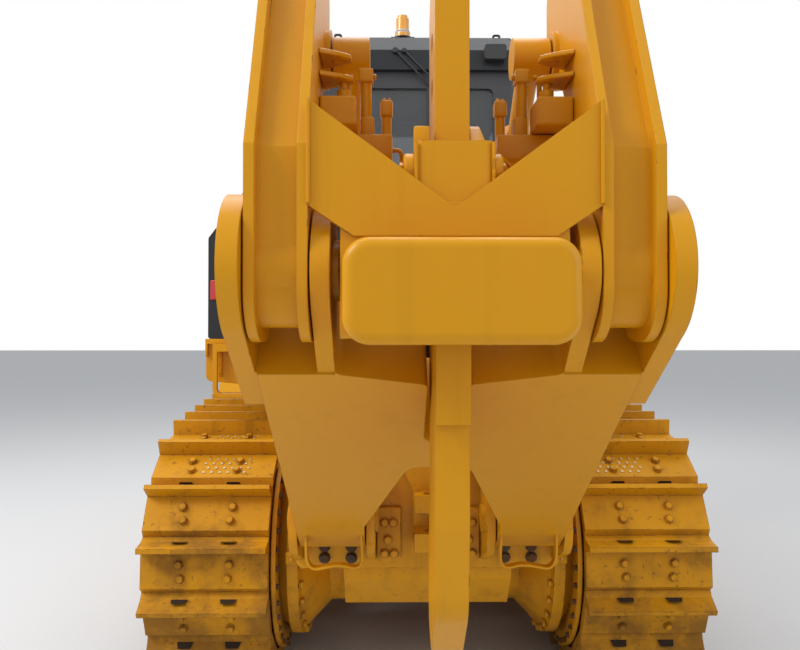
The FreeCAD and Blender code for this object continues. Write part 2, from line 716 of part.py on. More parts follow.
def make_ripper_mount():
    rear = -S.case_rear
    plate = rear - 40
    body = new_body("ripper_mount_side")
    nose = ARM_ROOT_RADIUS + 8
    for low in (S.leg_inside - S.move_gap - S.ear_thickness, S.leg_outside + S.move_gap):
        pad(body, "YZ_Plane", [rounded_loop([
            (rear - 5, ARM_PIN.z - 240), (ARM_PIN.y - nose, ARM_PIN.z - nose, nose - 1),
            (ARM_PIN.y - nose, ARM_PIN.z + nose, nose - 1), (rear - 5, ARM_PIN.z + 260),
        ])], low, S.ear_thickness)
    tower = rounded_loop([
        (rear + 50, S.case_top), (rear + 55, LIFT_PIN.z - 120, 60),
        (LIFT_PIN.y - 88, LIFT_PIN.z - 30, 50), (LIFT_PIN.y - 88, LIFT_PIN.z + 92, 80),
        (TILT_PIN.y - 70, TILT_PIN.z + 92, 60), (TILT_PIN.y + 92, TILT_PIN.z + 92, 85),
        (TILT_PIN.y + 120, S.case_top),
    ])
    tilt_low, tilt_high = ear_pair(S.tilt_side, S.tilt_eye_width)
    lift_low, lift_high = ear_pair(S.lift_side, S.lift_eye_width)
    shared = lift_low + S.ear_thickness - tilt_high
    for low, thickness in ((tilt_low, S.ear_thickness), (tilt_high, shared), (lift_high, S.ear_thickness)):
        pad(body, "YZ_Plane", [tower], low, thickness)
    for pin, radius, low, high in (
            (ARM_PIN, S.arm_pin_radius, S.leg_inside - S.move_gap - S.ear_thickness - 14,
             S.leg_outside + S.move_gap + S.ear_thickness + 14),
            (TILT_PIN, S.cylinder_pin_radius, tilt_low - 10, tilt_high + shared / 2),
            (LIFT_PIN, S.cylinder_pin_radius, lift_low + S.ear_thickness / 2, lift_high + S.ear_thickness + 10)):
        pad(body, "YZ_Plane", [circle(pin.y, pin.z, radius)], low, high - low)
    middle = new_body("ripper_mount_middle")
    half = S.leg_outside + S.move_gap + S.ear_thickness
    pad(middle, "XZ_Plane", [rounded_loop([
        (-half, S.case_bottom + 230, 40), (half, S.case_bottom + 230, 40), (half, S.case_top - 60, 60),
        (half - 60, S.case_top + 50, 40), (-half + 60, S.case_top + 50, 40), (-half, S.case_top - 60, 60),
    ])], "Sizes.case_rear", 40)
    deck_half = lift_high + S.ear_thickness
    pad(middle, "XY_Plane", [box(-deck_half, deck_half, plate + 20, TILT_PIN.y + 60)], "Sizes.case_top", 35)
    # the flared hitch between the arm's legs, with its jaw below
    hitch_half = S.leg_inside - S.move_gap - S.ear_thickness - 20
    pad(middle, "XZ_Plane", [rounded_loop([
        (-70, 1085), (70, 1085), (120, 1190, 60), (hitch_half, 1310, 30), (hitch_half, 1370),
        (-hitch_half, 1370), (-hitch_half, 1310, 30), (-120, 1190, 60),
    ])], S.case_rear + 30, 90)
    jaw_half = 70
    pad(middle, "XZ_Plane", [box(-jaw_half, jaw_half, JAW_BOTTOM, JAW_TOP)], S.case_rear + 30, 190)
    pocket(middle, "XZ_Plane", [box(-jaw_half - 10, jaw_half + 10, *JAW_GAP)], S.case_rear + 90, 140)
    pocket(middle, "XY_Plane", [circle(0, -S.case_rear - JAW_PIN_BEHIND, S.jaw_pin_radius)],
           JAW_BOTTOM - 10, JAW_TOP - JAW_BOTTOM + 20)
    left = mirrored(body, "ripper_mount_left")
    keep("ripper_mount", fused("ripper_mount", [middle, body, left]))


def turn_to_arm(thing):
    """Sets a piece that is drawn along the arm's middle line at the arm's parked angle."""
    thing.Placement = FreeCAD.Placement(ARM_PIN, FreeCAD.Rotation(V(1, 0, 0), ARM_TURN))


def make_lower_arm():
    """Drawn with u along the arm from the lower pin, and w towards its underside."""
    body = new_body("ripper_lower_arm")
    root = ARM_ROOT_RADIUS
    top = HUB_RADIUS
    end = ARM_LENGTH
    pad(body, "YZ_Plane", [rounded_loop([
        (-root, -root, root - 1), (end, -top), (end, top), (-root, root, root - 1),
    ])], "-Sizes.leg_outside", "2 * Sizes.leg_outside")
    ear_low = S.beam_outside + S.move_gap
    ear_outside = ear_low + ARM_EAR
    ear = rounded_loop([(end - 430, -180), (end, -top), (end, top), (end - 430, 180)])
    for low in (S.leg_outside - 5, -ear_outside):
        pad(body, "YZ_Plane", [ear], low, ear_outside - S.leg_outside + 5)
    pad(body, "YZ_Plane", [circle(end, 0, top)], -ear_outside, 2 * ear_outside)
    # the arch between the legs
    pocket(body, "XY_Plane", [rounded_loop([
        (-S.leg_inside, -root - 50), (S.leg_inside, -root - 50), (S.leg_inside, 190, 60),
        (112, 757, 70), (-112, 757, 70), (-S.leg_inside, 190, 60),
    ])], -top - 20, 2 * top + 40)
    # the slot that the shank passes, and the space between the inner ears
    clear = top + S.move_gap + 4
    slot_half = S.shank_thickness / 2 + 14
    slot_start = 950
    inner_ear = S.beam_inside - S.move_gap - 54
    past = end + top + 20
    pocket(body, "XY_Plane", [rounded_loop([
        (-slot_half, slot_start, 40), (slot_half, slot_start, 40), (slot_half, end - clear - 60, 20),
        (inner_ear, end - clear, 30), (inner_ear, past), (-inner_ear, past),
        (-inner_ear, end - clear, 30), (-slot_half, end - clear - 60, 20),
    ])], -top - 20, 2 * top + 40)
    for side in (1, -1):
        low, high = sorted((side * (S.beam_inside - S.move_gap), side * ear_low))
        pocket(body, "XY_Plane", [box(low, high, end - clear, past)], -top - 20, 2 * top + 40)
    # the inner ears are smaller than the outer ones
    nose = INNER_EAR_RADIUS
    for way in (1, -1):
        spare = rounded_loop([
            (end - clear, way * (top + 20)), (past, way * (top + 20)), (past, 0), (end + nose, 0),
            (end + nose, way * nose, nose - 1), (end - clear, way * (top - 20)),
        ])
        for low in (inner_ear - 1, 1 - S.beam_inside):
            pocket(body, "YZ_Plane", [spare], low, S.beam_inside - inner_ear)
    for place, radius in ((0, S.arm_pin_radius), (end, BEAM_PIN_RADIUS)):
        pocket(body, "YZ_Plane", [circle(place, 0, radius + S.run_gap)], -ear_low - 80, 2 * ear_low + 160)
    lug = rounded_loop([
        (S.lift_along - 200, -120), (S.lift_along - EYE_RADIUS, -S.lift_above - EYE_RADIUS, EYE_RADIUS - 1),
        (S.lift_along + EYE_RADIUS, -S.lift_above - EYE_RADIUS, EYE_RADIUS - 1), (S.lift_along + 170, -120),
    ])
    for side in (1, -1):
        for low in ear_pair(side * S.lift_side, S.lift_eye_width):
            pad(body, "YZ_Plane", [lug], low, S.ear_thickness)
    turn_to_arm(body)
    keep("ripper_lower_arm", body)


def make_pivot_pins():
    low = S.beam_inside - S.move_gap - 54
    high = S.beam_outside + S.move_gap + 60
    pin = turned("ripper_pivot_pin", [
        (low - 20, 0), (low - 20, 90), (low - S.run_gap, 90), (low - S.run_gap, BEAM_PIN_RADIUS),
        (high + S.run_gap, BEAM_PIN_RADIUS), (high + S.run_gap, 110), (high + 18, 110, 6), (high + 18, 0),
    ], BEAM_PIN.y, BEAM_PIN.z)
    both_sides(pin, "ripper_pivot_pins")


BEAM_REAR = BEAM_PIN.y - 175
BEAM_FRONT = BEAM_TILT_PIN.y + 140
BEAM_TOP = BEAM_TILT_PIN.z + 335
BEAM_KNEE = BEAM_PIN.z + 335


def beam_side_outline(inset):
    """Side view of a beam arm. The inset sets the recessed covers back from the plate edges."""
    lean = 0.47
    top_rear = BEAM_REAR + (BEAM_TOP - BEAM_KNEE) * lean
    y, z = BEAM_PIN.y, BEAM_PIN.z
    return rounded_loop([
        (BEAM_REAR + inset, z - 215 + inset, 150 - inset), (BEAM_REAR + inset, BEAM_KNEE),
        (top_rear + inset, BEAM_TOP - inset, 50), (BEAM_FRONT - inset, BEAM_TOP - inset, 110 - inset / 2),
        (BEAM_FRONT - inset, z + 720 + inset, 50), (y + 330 - inset, z + 645 + inset, 50),
        (y + 85 - inset, z + 330 + inset / 2, 50), (y + 165 - inset, z + 60),
        (y + 150 - inset, z - 205 + inset, 130 - inset),
    ])


def make_beam():
    arm = new_body("ripper_beam_arm")
    inner, outer, plate = S.beam_inside, S.beam_outside, S.beam_plate
    for low in (inner, outer - plate):
        pad(arm, "YZ_Plane", [beam_side_outline(0)], low, "Sizes.beam_plate")
    pad(arm, "YZ_Plane", [beam_side_outline(42), beam_side_outline(62)], inner + 5, outer - inner - 10)
    pad(arm, "YZ_Plane", [circle(BEAM_PIN.y, BEAM_PIN.z, 145)], inner, outer - inner)
    eye_side = S.tilt_side + S.tilt_eye_width / 2 + S.move_gap
    pad(arm, "YZ_Plane", [circle(BEAM_TILT_PIN.y, BEAM_TILT_PIN.z, 95)], eye_side, inner - eye_side + 5)
    pocket(arm, "YZ_Plane", [circle(BEAM_PIN.y, BEAM_PIN.z, BEAM_PIN_RADIUS + S.run_gap)],
           inner - 10, outer - inner + 20)
    middle = new_body("ripper_beam_middle")
    y, z = BEAM_PIN.y, BEAM_PIN.z
    # V-notched gusset at the rear, between the arms
    pad(middle, "XZ_Plane", [rounded_loop([
        (-inner - 3, z + 460), (-inner - 3, z + 168), (-280, z + 81), (280, z + 81), (inner + 3, z + 168),
        (inner + 3, z + 460), (0, z + 160, 25),
    ])], -BEAM_REAR - 40, 36)
    # cross box that carries the shank
    box_half = inner - S.move_gap - 54 - S.move_gap - 21
    pad(middle, "YZ_Plane", [rounded_loop([
        (BEAM_REAR + 20, z - 200, 30), (BEAM_REAR + 20, z + 175), (y - 25, z + 240, 20),
        (y + 125, z + 240, 30), (y + 165, z + 60), (y + 150, z - 200, 130),
    ])], -box_half, 2 * box_half)
    # saddle behind the shank, and the wear plate below it
    pad(middle, "XY_Plane", [box(-108, 108, BEAM_REAR + 25, SHANK_REAR - S.run_gap, 20)], z + 155, 195)
    pad(middle, "XY_Plane", [box(-S.shank_thickness / 2, S.shank_thickness / 2, SHANK_REAR - 40,
                                 SHANK_REAR - S.run_gap)], z - 445, 260)
    pocket(middle, "XY_Plane", [box(-S.shank_thickness / 2 - S.run_gap, S.shank_thickness / 2 + S.run_gap,
                                    SHANK_REAR - S.run_gap, SHANK_REAR + S.shank_depth + S.run_gap)],
           z - 295, 800)
    left = mirrored(arm, "ripper_beam_arm_left")
    keep("ripper_beam", fused("ripper_beam", [middle, arm, left]))


SHANK_REAR = BEAM_PIN.y - 60


def make_push_block():
    body = new_body("push_block")
    block = pad(body, "XZ_Plane", [box(-300, 300, 1780, 2050, 70)], -BEAM_REAR - 20, 232)
    doc.recompute()
    rear_face = min(range(len(block.Shape.Faces)), key=lambda n: block.Shape.Faces[n].CenterOfMass.y)
    rounding = body.newObject("PartDesign::Fillet", "push_block_rounding")
    rounding.Base = (block, [f"Face{rear_face + 1}"])
    rounding.Radius = 30
    body.Tip = rounding
    keep("push_block", body)


def make_shank():
    rear, front = SHANK_REAR, SHANK_REAR + S.shank_depth
    body = new_body("ripper_shank")
    pad(body, "YZ_Plane", [rounded_loop([
        (rear, 2830), (rear + 50, 2890), (front - 60, 2890), (front, 2830), (front, 1260, 120),
        (front + 70, 1050), (front + 60, 900), (front - 90, 800, 40), (rear + 40, 990, 160), (rear, 1260, 150),
    ])], "-Sizes.shank_thickness / 2", "Sizes.shank_thickness")
    pad(body, "YZ_Plane", [
        rounded_loop([(rear + 90, 2880), (rear + 230, 2880), (rear + 215, 2965, 55), (rear + 105, 2965, 55)]),
        circle(rear + 160, 2925, 24),
    ], -18, 36)
    for height in (2560, 2700):
        pocket(body, "YZ_Plane", [circle((rear + front) / 2, height, 38)],
               "-Sizes.shank_thickness", "2 * Sizes.shank_thickness")
    keep("ripper_shank", body)
    tooth = new_body("ripper_tooth")
    pad(tooth, "YZ_Plane", [rounded_loop([
        (front + 70.3, 1050), (front + 60.3, 900), (front - 89.4, 800), (front - 20, 765, 20),
        (front + 170, 770), (front + 235, 800, 10), (front + 150, 960),
    ])], -S.shank_thickness / 2 + 8, S.shank_thickness - 16)
    keep("ripper_tooth", tooth)


# CYLINDERS
# A barrel is drawn along +Z from its pin, and a rod along +Z from its own eye.

def make_barrel(name, radius, length, eye_width, bore_depth):
    """Eye with its pin hole, barrel, gland and port blocks, along +Z from the eye's middle."""
    body = new_body(name)
    eye = [circle(0, 0, EYE_RADIUS), circle(0, 0, S.cylinder_pin_radius + S.run_gap)]
    pad(body, "YZ_Plane", eye, -eye_width / 2, eye_width)
    neck = EYE_RADIUS + 60
    pad(body, "XY_Plane", [box(-eye_width / 2, eye_width / 2, -48, 48, 20)], EYE_RADIUS - 14, neck - EYE_RADIUS + 20)
    for outline_radius, low, high in ((radius, neck, length), (radius + 9, length - 90, length)):
        pad(body, "XY_Plane", [circle(0, 0, outline_radius)], low, high - low)
    pocket(body, "XY_Plane", [circle(0, 0, S.ripper_rod_radius + 1)], length - bore_depth, bore_depth + 10)
    port_block = box(-28, 28, radius - 12, radius + 34, 6)
    for low in (neck + 30, length - 170):
        pad(body, "XY_Plane", [port_block], low, 70)
    return body


def make_rod(name, radius, length, eye_width):
    """Eye and rod, along +Z from the eye's middle."""
    body = new_body(name)
    pad(body, "YZ_Plane", [circle(0, 0, EYE_RADIUS)], -eye_width / 2, eye_width)
    pad(body, "XY_Plane", [circle(0, 0, radius)], EYE_RADIUS - 14, length - EYE_RADIUS + 14)
    return body


def lay_along(body, side, start, end):
    """Turns a piece that is drawn along +Z to point from start to end, at this side."""
    run = end - start
    turn = -math.degrees(math.atan2(run.y, run.z))
    body.Placement = FreeCAD.Placement(V(side, start.y, start.z), FreeCAD.Rotation(V(1, 0, 0), turn))


# Rods stay this far in their barrels when they are run out.
ROD_HELD = 40
# name, middle from the machine's middle, barrel's pin, rod's eye, barrel radius, eye width,
# rod that shows as parked, way in and way out from there
RIPPER_CYLINDERS = (
    ("ripper_lift", S.lift_side, LIFT_PIN, ARM_LIFT_PIN, S.lift_barrel_radius, S.lift_eye_width, 145, 0, 600),
    ("ripper_tilt", S.tilt_side, TILT_PIN, BEAM_TILT_PIN, S.tilt_barrel_radius, S.tilt_eye_width, 320, 125, 155),
)


def make_ripper_cylinders():
    for name, side, start, end, radius, eye_width, shows, way_in, way_out in RIPPER_CYLINDERS:
        length = (end - start).Length
        inside = way_out + ROD_HELD
        barrel = make_barrel(name + "_barrel", radius, length - shows, eye_width, inside + way_in + 8)
        lay_along(barrel, side, start, end)
        both_sides(barrel, name + "_barrels")
        rod = make_rod(name + "_rod", S.ripper_rod_radius, shows + inside, eye_width)
        lay_along(rod, side, end, start)
        both_sides(rod, name + "_rods")


for make in (make_ripper_mount, make_lower_arm, make_pivot_pins, make_beam, make_push_block,
             make_shank, make_ripper_cylinders):
    make()


# SLABS ALONG THE MACHINE'S AXES

def pad_x(body, loops, low, high):
    return pad(body, "YZ_Plane", loops, low, high - low)


def pad_y(body, loops, low, high):
    return pad(body, "XZ_Plane", loops, -high, high - low)


def pad_z(body, loops, low, high):
    return pad(body, "XY_Plane", loops, low, high - low)


def pocket_x(body, loops, low, high):
    return pocket(body, "YZ_Plane", loops, low, high - low)


def pocket_y(body, loops, low, high):
    return pocket(body, "XZ_Plane", loops, -high, high - low)


# HOOD AND RADIATOR GUARD

def hood_side(outside, bottom, top, corner):
    return [(-outside, bottom), (outside, bottom), (outside, top, corner), (-outside, top, corner)]


def make_hood():
    body = new_body("hood")
    half, wall = S.hood_half_width, S.hood_wall
    sheet_outline = rounded_loop([
        (-half, S.hood_bottom), (-half + wall, S.hood_bottom),
        (-half + wall, S.hood_top - wall, 106), (half - wall, S.hood_top - wall, 106),
        (half - wall, S.hood_bottom), (half, S.hood_bottom),
        (half, S.hood_top, 120), (-half, S.hood_top, 120),
    ])
    pad_y(body, [sheet_outline], S.hood_rear, S.hood_front)
    pad_y(body, [rounded_loop(hood_side(half - 2, S.hood_bottom, S.hood_top - 2, 118))],
          S.hood_rear, S.hood_rear + wall)
    # louvres in the side doors
    louvres = []
    for first in (2230, 2650):
        for row in range(8):
            low = 1380 + row * 90
            louvres.append(box(first, first + 280, low, low + 34))
    pocket_x(body, louvres, half - 40, half + 10)
    pocket_x(body, louvres, -half - 10, -half + 40)
    keep("hood", body)


def make_radiator_guard():
    body = new_body("radiator_guard")
    half, wall = S.guard_half_width, S.guard_wall
    front, rear = S.guard_front, S.hood_front
    pad_y(body, [rounded_loop([
        (-half, S.guard_bottom, 30), (half, S.guard_bottom, 30), (half, S.guard_top, 70), (-half, S.guard_top, 70),
    ])], rear, front)
    pocket_y(body, [box(-half + wall, half - wall, S.guard_bottom + 140, S.guard_top - wall - 30, 20)],
             rear - 10, front + 10)
    cheek = rounded_loop([
        (rear, S.blade_cylinder_height - 120), (S.blade_cylinder_ahead + 90, S.blade_cylinder_height - 90, 85),
        (S.blade_cylinder_ahead + 90, S.blade_cylinder_height + 90, 85), (rear, S.blade_cylinder_height + 120),
    ])
    reach = BLADE_COLLAR_HALF + S.move_gap
    outer = S.blade_cylinder_side + reach
    for side in (1, -1):
        for low in (S.guard_half_width - 2, outer):
            high = S.blade_cylinder_side - reach if low < outer else outer + 22
            x_low, x_high = sorted((side * low, side * high))
            pad_x(body, [cheek], x_low, x_high)
        x_low, x_high = sorted((side * (half - 5), side * (outer + 22)))
        pad_y(body, [box(x_low, x_high, S.blade_cylinder_height - 120, S.blade_cylinder_height - 40)],
              rear, rear + 40)
    pocket_x(body, [circle(S.blade_cylinder_ahead, S.blade_cylinder_height, BLADE_TRUNNION_RADIUS + S.run_gap)],
             -outer - 40, -half - 1)
    pocket_x(body, [circle(S.blade_cylinder_ahead, S.blade_cylinder_height, BLADE_TRUNNION_RADIUS + S.run_gap)],
             half + 1, outer + 40)
    keep("radiator_guard", body)
    grille = new_body("radiator_grille")
    gap = S.run_gap
    x_half = half - wall - gap
    low, high = S.guard_bottom + 140 + gap, S.guard_top - wall - 30 - gap
    windows = []
    rows = 13
    step = (high - low - 40) / rows
    for row in range(rows):
        for x_low, x_high in ((-x_half + 40, -20), (20, x_half - 40)):
            windows.append(box(x_low, x_high, low + 40 + row * step, low + row * step + step))
    pad_y(grille, [box(-x_half, x_half, low, high, 20)] + windows, front - 50, front - 25)
    keep("radiator_grille", grille)
    core = new_body("radiator_core")
    pad_y(core, [box(-x_half, x_half, low, high, 20)], rear + 40, rear + 130)
    keep("radiator_core", core)


BLADE_COLLAR_HALF = 72
BLADE_TRUNNION_RADIUS = 30


def make_stacks():
    """The exhaust and the air cleaner's cap on the hood."""
    exhaust = new_body("exhaust_stack")
    x, y = -190, 2480
    for radius, low, high in ((62, 0, 40), (95, 40, 420), (48, 420, 820)):
        pad_z(exhaust, [circle(x, y, radius)], S.hood_top + low - (1 if low else 0), S.hood_top + high)
    tip = bent_tube("exhaust_tip", [
        V(x, y, S.hood_top + 815), V(x, y, S.hood_top + 905), V(x, y + 110, S.hood_top + 960)], 48, 60)
    keep("exhaust_stack", fused("exhaust_stack", [exhaust, tip]))
    cleaner = new_body("air_precleaner")
    x, y = 200, 2380
    for radius, low, high in ((58, 0, 270), (135, 269, 330), (118, 329, 430), (60, 429, 460)):
        pad_z(cleaner, [circle(x, y, radius)], S.hood_top + low, S.hood_top + high)
    keep("air_precleaner", cleaner)


# CAB

CAB_FRONT = S.cab_rear + S.cab_length
DOOR_REAR = S.cab_rear + S.cab_corner_length + 50
DOOR_FRONT = CAB_FRONT - S.cab_corner_length - 50
DOOR_BOTTOM = 1812
DOOR_TOP = S.cab_wall_top - 90
WINDOW_LOW = 2300
WINDOW_HIGH = S.cab_wall_top - 110


DOOR_AXIS_OUT = S.cab_half_width + 17
DOOR_AXIS_AHEAD = DOOR_REAR + S.move_gap + 18
HINGE_HEIGHTS = (2000, 3200)
HINGE_PIN_RADIUS = 9


def cab_plan(inset):
    """Outline of the cab from above, moved inwards by the inset."""
    rear, front = S.cab_rear, CAB_FRONT
    corner = S.cab_corner_length
    half = [(S.cab_rear_half_width, rear), (S.cab_half_width, rear + corner),
            (S.cab_half_width, front - corner), (S.cab_front_half_width, front)]
    corners = [V(x, y, 0) for x, y in half] + [V(-x, y, 0) for x, y in reversed(half)]
    moved = []
    for before, here, after in zip(corners[-1:] + corners[:-1], corners, corners[1:] + corners[:1]):
        first = (here - before).normalize()
        second = (after - here).normalize()
        normals = (V(-first.y, first.x, 0), V(-second.y, second.x, 0))
        middle = (normals[0] + normals[1]).normalize()
        place = here + middle * (inset / middle.dot(normals[0]))
        moved.append((place.x, place.y, 45))
    return rounded_loop(moved)


def window_boxes(gap):
    """Windows: plane, outline and reach along the plane's normal, shrunk by the gap."""
    low, high = WINDOW_LOW + gap, WINDOW_HIGH - gap
    rear, front, corner = S.cab_rear, CAB_FRONT, S.cab_corner_length
    deep = S.cab_wall + 15
    half = S.cab_half_width
    windows = [
        ("y", box(-500 + gap, 500 - gap, low, high, 40), rear - 10, rear + deep),
        ("y", box(-440 + gap, 440 - gap, low - 120, high, 40), front - deep, front + 10),
    ]
    for start, end in ((rear + 75, rear + corner - 20), (front - corner + 20, front - 90)):
        outline = (start + gap, end - gap, low, high, 25)
        windows.append(("x", box(*outline), half - 210, half + 10))
        windows.append(("x", box(*outline), -half - 10, -half + 210))
    return windows


def make_cab():
    shell = new_body("cab_shell")
    pad_z(shell, [cab_plan(0), cab_plan(S.cab_wall)], S.cab_floor, S.cab_wall_top)
    for plane, outline, low, high in window_boxes(0):
        (pocket_x if plane == "x" else pocket_y)(shell, [outline], low, high)
    opening = [box(DOOR_REAR, DOOR_FRONT, DOOR_BOTTOM, DOOR_TOP, 30)]
    half, wall = S.cab_half_width, S.cab_wall
    pocket_x(shell, opening, half - wall - 10, half + 10)
    pocket_x(shell, opening, -half - 10, -half + wall + 10)
    # hinge brackets with their pins, behind each door
    for side in (1, -1):
        for height in HINGE_HEIGHTS:
            axis = side * DOOR_AXIS_OUT
            x_low, x_high = sorted((side * (half - 3), axis + side * 11))
            pad_z(shell, [box(x_low, x_high, DOOR_REAR - 60, DOOR_REAR - 15)], height - 26, height - S.run_gap)
            pad_z(shell, [box(axis - 11, axis + 11, DOOR_REAR - 20, DOOR_AXIS_AHEAD + 11, 8)],
                  height - 26, height - S.run_gap)
            pad_z(shell, [circle(axis, DOOR_AXIS_AHEAD, HINGE_PIN_RADIUS)], height - 10, height + 62)
    keep("cab_shell", shell)

    ring = new_body("cab_glass_ring")
    pad_z(ring, [cab_plan(wall / 2 - 4), cab_plan(wall / 2 + 4)], WINDOW_LOW - 200, WINDOW_HIGH + 50)
    panes = new_body("cab_glass_panes")
    for plane, outline, low, high in window_boxes(S.run_gap):
        (pad_x if plane == "x" else pad_y)(panes, [outline], low, high)
    keep("cab_glass", common("cab_glass", ring, panes))

    roof = new_body("cab_roof")
    pad_z(roof, [cab_plan(-40)], S.cab_wall_top, S.cab_top - 110)
    crown = pad_z(roof, [cab_plan(-40)], S.cab_top - 111, S.cab_top)
    crown.TaperAngle = -35
    pad_z(roof, [circle(-96, S.cab_rear + 130, 62)], S.cab_top - 5, S.cab_top + 28)
    keep("cab_roof", roof)

    floor = new_body("cab_floor")
    pad_z(floor, [box(-780, 780, 700, CAB_FRONT + 30, 30)], S.cab_floor - 40, S.cab_floor)
    pad_z(floor, [box(-350, 350, 380, 710)], S.cab_floor - 40, S.cab_floor)
    pad_z(floor, [circle(side * 300, 450, 55) for side in (1, -1)], S.case_top, S.cab_floor - 39)
    keep("cab_floor", floor)


def make_cab_inside():
    pedestal = new_body("seat_pedestal")
    pad_x(pedestal, [rounded_loop([(1180, S.cab_floor), (1500, S.cab_floor), (1470, 1980, 20), (1210, 1980, 20)])],
          -170, 170)
    keep("seat_pedestal", pedestal)
    seat = new_body("operator_seat")
    low = 1980 + S.run_gap
    pad_x(seat, [rounded_loop([
        (1110, low, 40), (1570, low, 40), (1590, 2110, 50), (1280, 2120, 70), (1190, 2780, 50), (1060, 2780, 50),
    ])], -250, 250)
    keep("operator_seat", seat)
    console = new_body("control_console")
    pad_x(console, [rounded_loop([(1790, S.cab_floor), (1940, S.cab_floor), (1940, 2150, 30), (1800, 2230, 40)])],
          -330, 330)
    for side in (1, -1):
        low, high = sorted((side * 290, side * 430))
        pad_x(console, [rounded_loop([
            (1150, S.cab_floor), (1560, S.cab_floor), (1560, 2150, 40), (1150, 2230, 30)])], low, high)
    keep("control_console", console)


def make_doors():
    gap = S.move_gap
    half, wall = S.cab_half_width, S.cab_wall
    door = new_body("cab_door_right")
    pad_x(door, [box(DOOR_REAR + gap, DOOR_FRONT - gap, DOOR_BOTTOM + gap, DOOR_TOP - gap, 26)], half - wall, half)
    window = (DOOR_REAR + 80, DOOR_FRONT - 80, 2260, DOOR_TOP - 80)
    pocket_x(door, [box(*window, 40)], half - wall - 10, half + 10)
    pad_x(door, [box(DOOR_FRONT - 160, DOOR_FRONT - 40, 2120, 2160, 12)], half - 2, half + 30)
    for height in HINGE_HEIGHTS:
        pad_z(door, [box(half - 2, half + 9, DOOR_AXIS_AHEAD - 10, DOOR_AXIS_AHEAD + 70)], height, height + 52)
        pad_z(door, [circle(DOOR_AXIS_OUT, DOOR_AXIS_AHEAD, 15)], height, height + 52)
    for height in HINGE_HEIGHTS:
        pocket(door, "XY_Plane", [circle(DOOR_AXIS_OUT, DOOR_AXIS_AHEAD, HINGE_PIN_RADIUS + S.run_gap)],
               height - 1, 54)
    keep("cab_door_right", door)
    keep("cab_door_left", mirrored(door, "cab_door_left"))
    glass = new_body("door_glass_right")
    shrink = S.run_gap
    pad_x(glass, [box(window[0] + shrink, window[1] - shrink, window[2] + shrink, window[3] - shrink, 40)],
          half - wall / 2 - 4, half - wall / 2 + 4)
    keep("door_glass_right", glass)
    keep("door_glass_left", mirrored(glass, "door_glass_left"))


# TANK, FENDERS AND LAMPS

def make_tank():
    body = new_body("rear_tank")
    half = S.tank_half_width
    pad_y(body, [rounded_loop([
        (-half, S.tank_bottom, 15), (half, S.tank_bottom, 15), (half, S.tank_shoulder, 25),
        (half - 200, S.tank_top, 40), (-half + 200, S.tank_top, 40), (-half, S.tank_shoulder, 25),
    ])], -S.tank_rear, S.tank_length - S.tank_rear)
    keep("rear_tank", body)
    lamps = new_body("tail_lamp")
    pad_y(lamps, [box(half - 130, half - 20, 2010, 2105, 12)], -S.tank_rear - 28, -S.tank_rear)
    both_sides(lamps, "tail_lamps")


def make_fenders():
    body = new_body("fender")
    edge = S.tank_half_width + 10
    top = S.tank_bottom
    pad_z(body, [box(785, edge, -S.tank_rear - 20, CAB_FRONT + 30)], top - 28, top)
    pad_x(body, [box(-S.tank_rear - 20, CAB_FRONT + 30, top - 95, top - 20)], edge - 12, edge)
    pad_y(body, [rounded_loop([
        (300, S.case_top), (460, S.case_top), (620, 1505, 60), (edge, 1560, 30), (edge, top - 20), (300, top - 20),
    ]), circle(1010, 1690, 24)], -S.tank_rear, -S.tank_rear + 20)
    pad_y(body, [rounded_loop([
        (S.rail_inside, S.rail_top), (S.rail_outside, S.rail_top), (S.rail_outside, 1440, 60), (edge, 1560, 30),
        (edge, top - 20), (790, top - 20), (790, S.cab_floor - 40), (S.rail_inside, S.cab_floor - 40),
    ])], CAB_FRONT - 40, CAB_FRONT - 20)
    for x in (845, 960, 1100):
        pad_x(body, [rounded_loop([
            (-S.tank_rear + 1, 1580), (-S.tank_rear - 18, 1600), (-S.tank_rear - 18, top - 20), (-S.tank_rear + 1, top - 20),
        ])], x, x + 14)
    both_sides(body, "fenders")
    step = new_body("rear_step")
    low, high, thick = 1470, top - 28, 24
    pad_y(step, [rounded_loop([
        (835, high), (835, low, 50), (1140, low, 50), (1140, high), (1140 - thick, high),
        (1140 - thick, low + thick, 30), (835 + thick, low + thick, 30), (835 + thick, high),
    ])], -S.tank_rear - 64, -S.tank_rear - 64 + thick)
    pad_z(step, [box(835, 1140, -S.tank_rear - 64, -S.tank_rear - 20)], top - 70, top - 28)
    both_sides(step, "rear_steps")


def make_lamps():
    beacon = new_body("beacon")
    x, y, base = -96, S.cab_rear + 130, S.cab_top + 28
    for radius, low, high in ((52, 0, 30), (44, 29, 130), (34, 129, 150)):
        pad_z(beacon, [circle(x, y, radius)], base + low, base + high)
    keep("beacon", beacon)
    lamps = new_body("work_lamp")
    x = 500
    for side, y in ((-1, S.cab_rear - 40), (1, CAB_FRONT + 40)):
        rear, front = sorted((y, y + side * 70))
        pad_y(lamps, [box(x - 70, x + 70, S.cab_top - 190, S.cab_top - 95, 18)], rear, front)
    both_sides(lamps, "work_lamps")


# BLADE

BLADE_FOOT = S.blade_back + 220
EDGE_TOP = 230


def blade_face_outline():
    """Section of the blade's hollow face plate."""
    back, foot, top = S.blade_back, BLADE_FOOT, S.blade_height
    plate = S.blade_plate
    deepest = back + plate + 4
    front = [V(foot, EDGE_TOP, 0), V(deepest, (EDGE_TOP + top) / 2 + 40, 0), V(foot - 30, top, 0)]
    rear = [V(point.x - plate - 4, point.y, 0) for point in front]
    return [
        Part.Arc(*front), Part.LineSegment(front[2], rear[2]),
        Part.Arc(rear[2], rear[1], rear[0]), Part.LineSegment(rear[0], front[0]),
    ]


